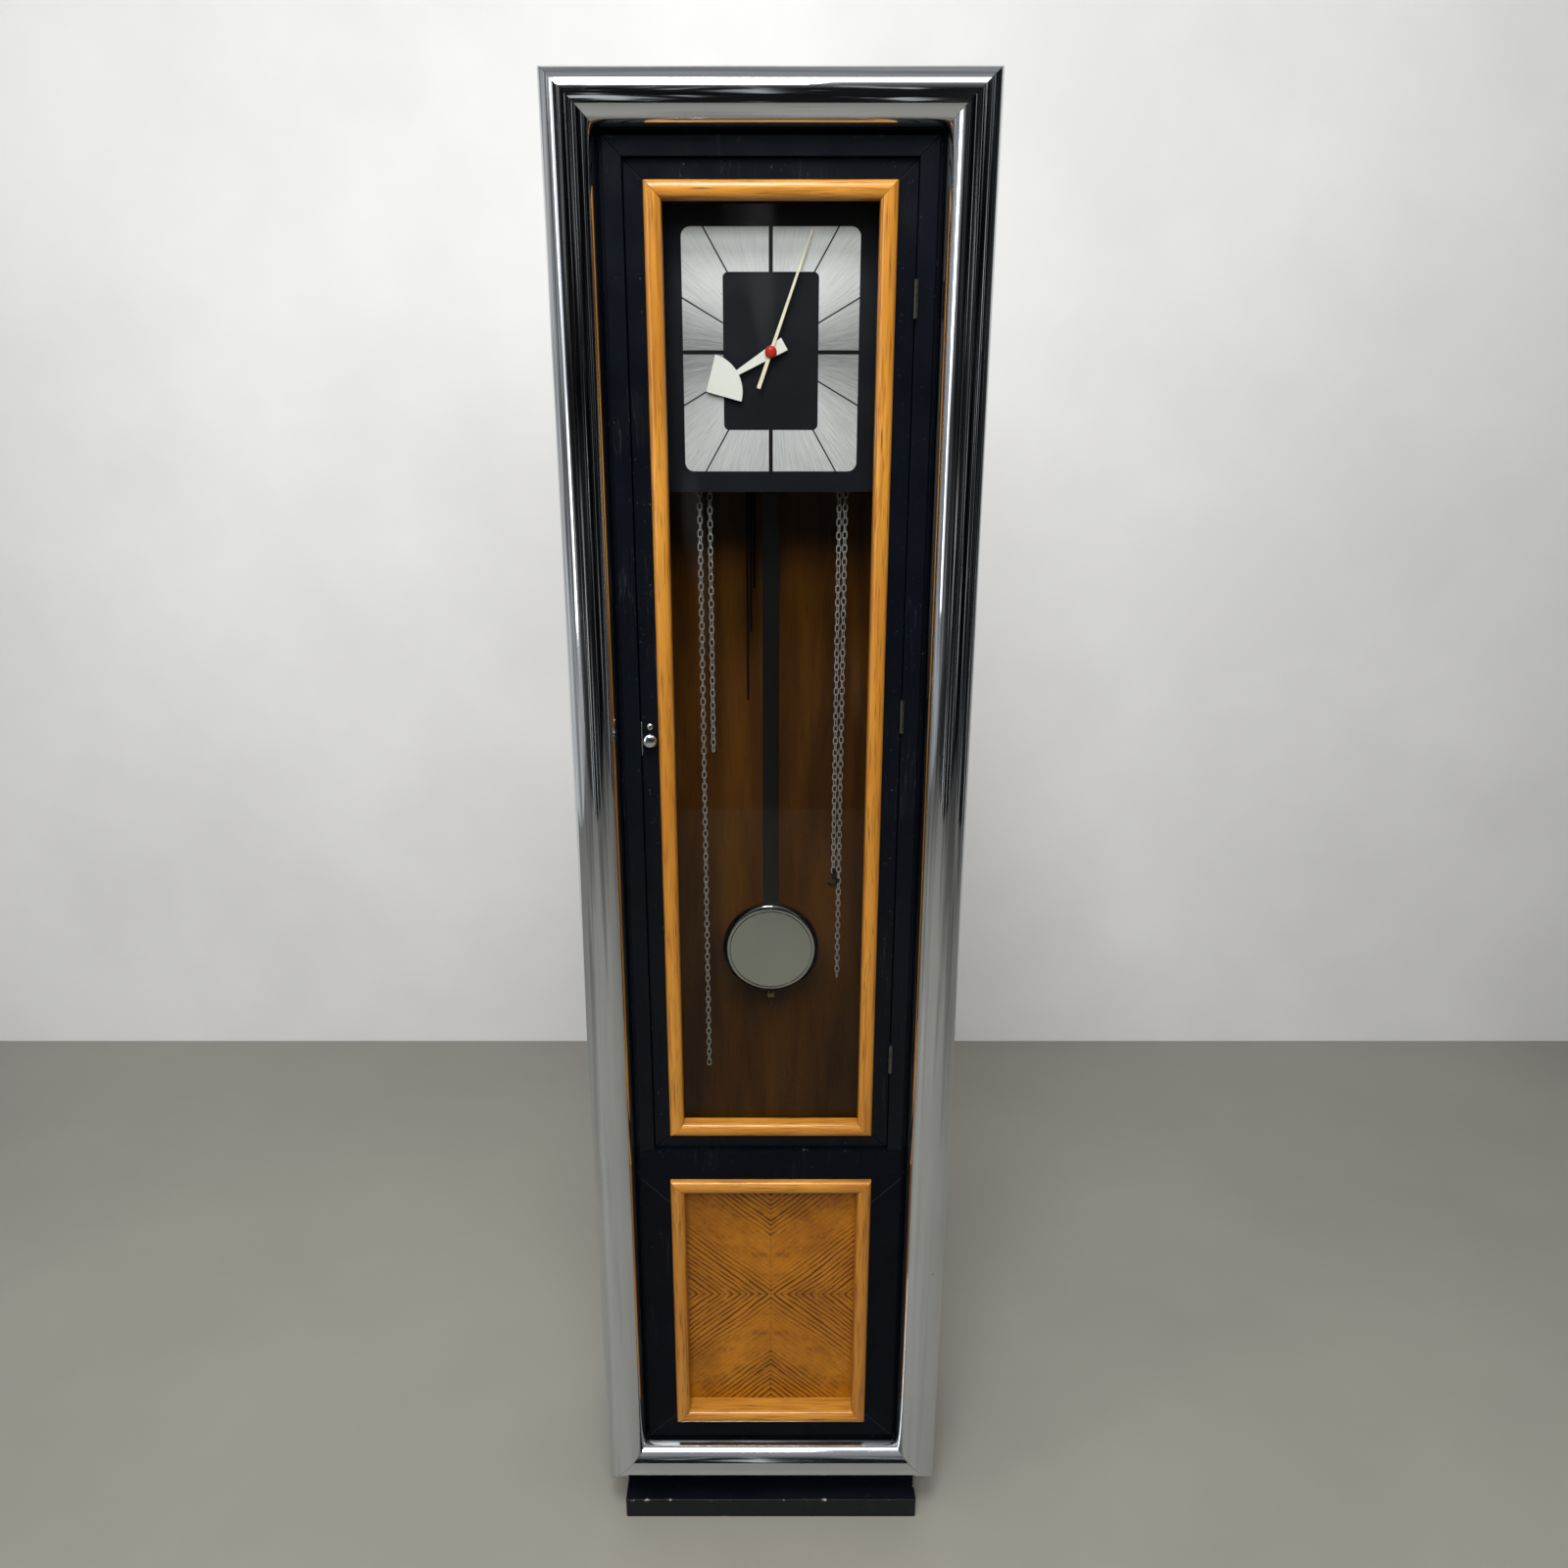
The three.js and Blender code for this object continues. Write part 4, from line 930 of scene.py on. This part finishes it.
def make_pendulum():
    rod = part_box("pendulum_rod")
    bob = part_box("pendulum_bob")
    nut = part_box("rating_nut")
    middle = (bob[0] + bob[1]) / 2
    radius = (bob[1].x - bob[0].x) / 2
    half = (bob[1].y - bob[0].y) / 2
    face = radius * 0.88
    front = []
    for i in range(1, 13):
        r = (face - 2.4 * MM) * i / 12
        front.append((r, -half + 0.9 * MM * (r / face) ** 2))
    rim = [(face - 1.6 * MM, -half + 1.7 * MM), (face, -half + 1.3 * MM)]
    for i in range(1, 9):
        angle = math.pi / 2 * i / 8
        out = face + (radius - face) * math.sin(angle)
        rim.append((out, -1.6 * MM - (half - 2.9 * MM) * math.cos(angle)))
    rim += [(radius, 1.6 * MM), (radius - 1.5 * MM, 3.6 * MM), (face, half - 0.4 * MM)]
    profile = [(0, -half)] + front + rim + [(face - 2 * MM, half), (0, half)]
    points, faces = turned(profile, middle, segments=96)
    # The bob's chrome is a darker copy of the other chrome: painted shade for the dark surroundings it
    # mirrors inside the case.
    bob_chrome = chrome("bob_chrome", 0.1, (1, 1, 1), clean=srgb(178, 180, 175))
    new_piece("bob_shell", points, faces, bob_chrome, "bob", ["pendulum_bob"], sharp=25)

    black = enamel("pendulum_black", srgb(8, 9, 11), 0.4)
    blade_low = middle.z
    rod_top = rod[1].z - 23 * MM
    blade = brick((rod[0].x, rod[0].y, blade_low), (rod[1].x, rod[1].y, rod_top))
    spring = brick((-4 * MM, middle.y - 0.8 * MM, rod_top - MM), (4 * MM, middle.y + 0.8 * MM, rod[1].z))
    thread = [(0, rod[0].z)]
    for i in range(40):
        thread.append(((2.0 if i % 2 else 1.7) * MM, rod[0].z + i * 0.55 * MM))
    thread += [(1.7 * MM, middle.z - radius + 5 * MM), (0, middle.z - radius + 5 * MM)]
    screw = turned(thread, (0, middle.y, 0), "Z", 24)
    points, faces = joined(blade, spring, screw)
    rod_piece = new_piece("pendulum_blade", points, faces, black,
                          "pendulum", ["pendulum_rod"])
    soften(rod_piece, 0.0006)

    knurls = 28
    outer = (nut[1].x - nut[0].x) / 2
    ring = []
    for i in range(knurls * 2):
        angle = math.pi * i / knurls
        r = outer if i % 2 else outer - 0.45 * MM
        ring.append((r * math.cos(angle), r * math.sin(angle)))
    bottom, top, bore = nut[0].z, nut[1].z, 2.3 * MM
    hole = [(bore * x / math.hypot(x, y), bore * y / math.hypot(x, y)) for x, y in ring]
    points = [(x, middle.y + y, z) for z in (bottom, top) for loop in (ring, hole) for x, y in loop]
    count = len(ring)
    faces = []
    for i in range(count):
        j = (i + 1) % count
        faces.append((i, j, count + j, count + i))
        faces.append((2 * count + j, 2 * count + i, 3 * count + i, 3 * count + j))
        faces.append((j, i, 2 * count + i, 2 * count + j))
        faces.append((count + i, count + j, 3 * count + j, 3 * count + i))
    nut_brass = metal("nut_brass", srgb(186, 152, 92), 0.3)
    new_piece("knurled_nut", points, faces, nut_brass, "rating_nut", ["rating_nut"])


# ---------------------------------------------------------------- latch

def make_latch():
    low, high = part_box("turn_latch")
    radius = (high.x - low.x) / 2
    centre = (low.x + radius, 0, high.z - radius)
    face = low.y + 16 * MM
    profile = [(0, low.y)]
    for i in range(1, 13):
        angle = math.pi / 2 * i / 12
        profile.append((radius * math.sin(angle), low.y + 5 * MM * (1 - math.cos(angle))))
    profile += [(radius, face - 9.5 * MM), (radius - 1.8 * MM, face - 7 * MM), (3.4 * MM, face - 5 * MM),
                (3.2 * MM, face - 2 * MM), (5.4 * MM, face - 0.8 * MM), (5.4 * MM, face),
                (3 * MM, face), (3 * MM, high.y), (0, high.y)]
    knob = turned(profile, centre, segments=48)
    cam_half = 6 * MM
    cam = brick((centre[0] - cam_half, high.y - 2 * MM, low.z),
                (centre[0] + cam_half, high.y, centre[2] + cam_half))
    points, faces = joined(knob, cam)
    metal_finish = chrome("latch_chrome", 0.12, (1, 1, 1))
    new_piece("latch_knob", points, faces, metal_finish, "latch", ["turn_latch"])

    stud_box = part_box("latch_stud")
    stud_middle = (stud_box[0] + stud_box[1]) / 2
    stud_radius = (stud_box[1].x - stud_box[0].x) / 2
    rise = stud_box[1].y - stud_box[0].y
    stud = [(0, stud_box[0].y)]
    for i in range(1, 9):
        angle = math.pi / 2 * i / 8
        stud.append((stud_radius * math.sin(angle), stud_box[1].y - rise * math.cos(angle)))
    stud.append((0, stud_box[1].y))
    points, faces = turned(stud, (stud_middle.x, 0, stud_middle.z), segments=32)
    new_piece("stud_dome", points, faces, metal_finish, "door", ["latch_stud"])
    dress(metal_finish, "latch_plate", edge=0.0002)


# ---------------------------------------------------------------- assembly

make_camera()
make_stage()
make_light()
dress_cad()
make_chrome_trim()
oak_upright = oak("oak_upright", True)
oak_level = oak("oak_level", False)
make_moulding("door_moulding", "door_rail_top", "door", oak_upright, oak_level)
make_moulding("lower_moulding", "lower_frame", "case", oak_upright, oak_level)
make_chains()
dial_centre = make_dial_ring()
make_hands(dial_centre)
make_pendulum()
make_latch()
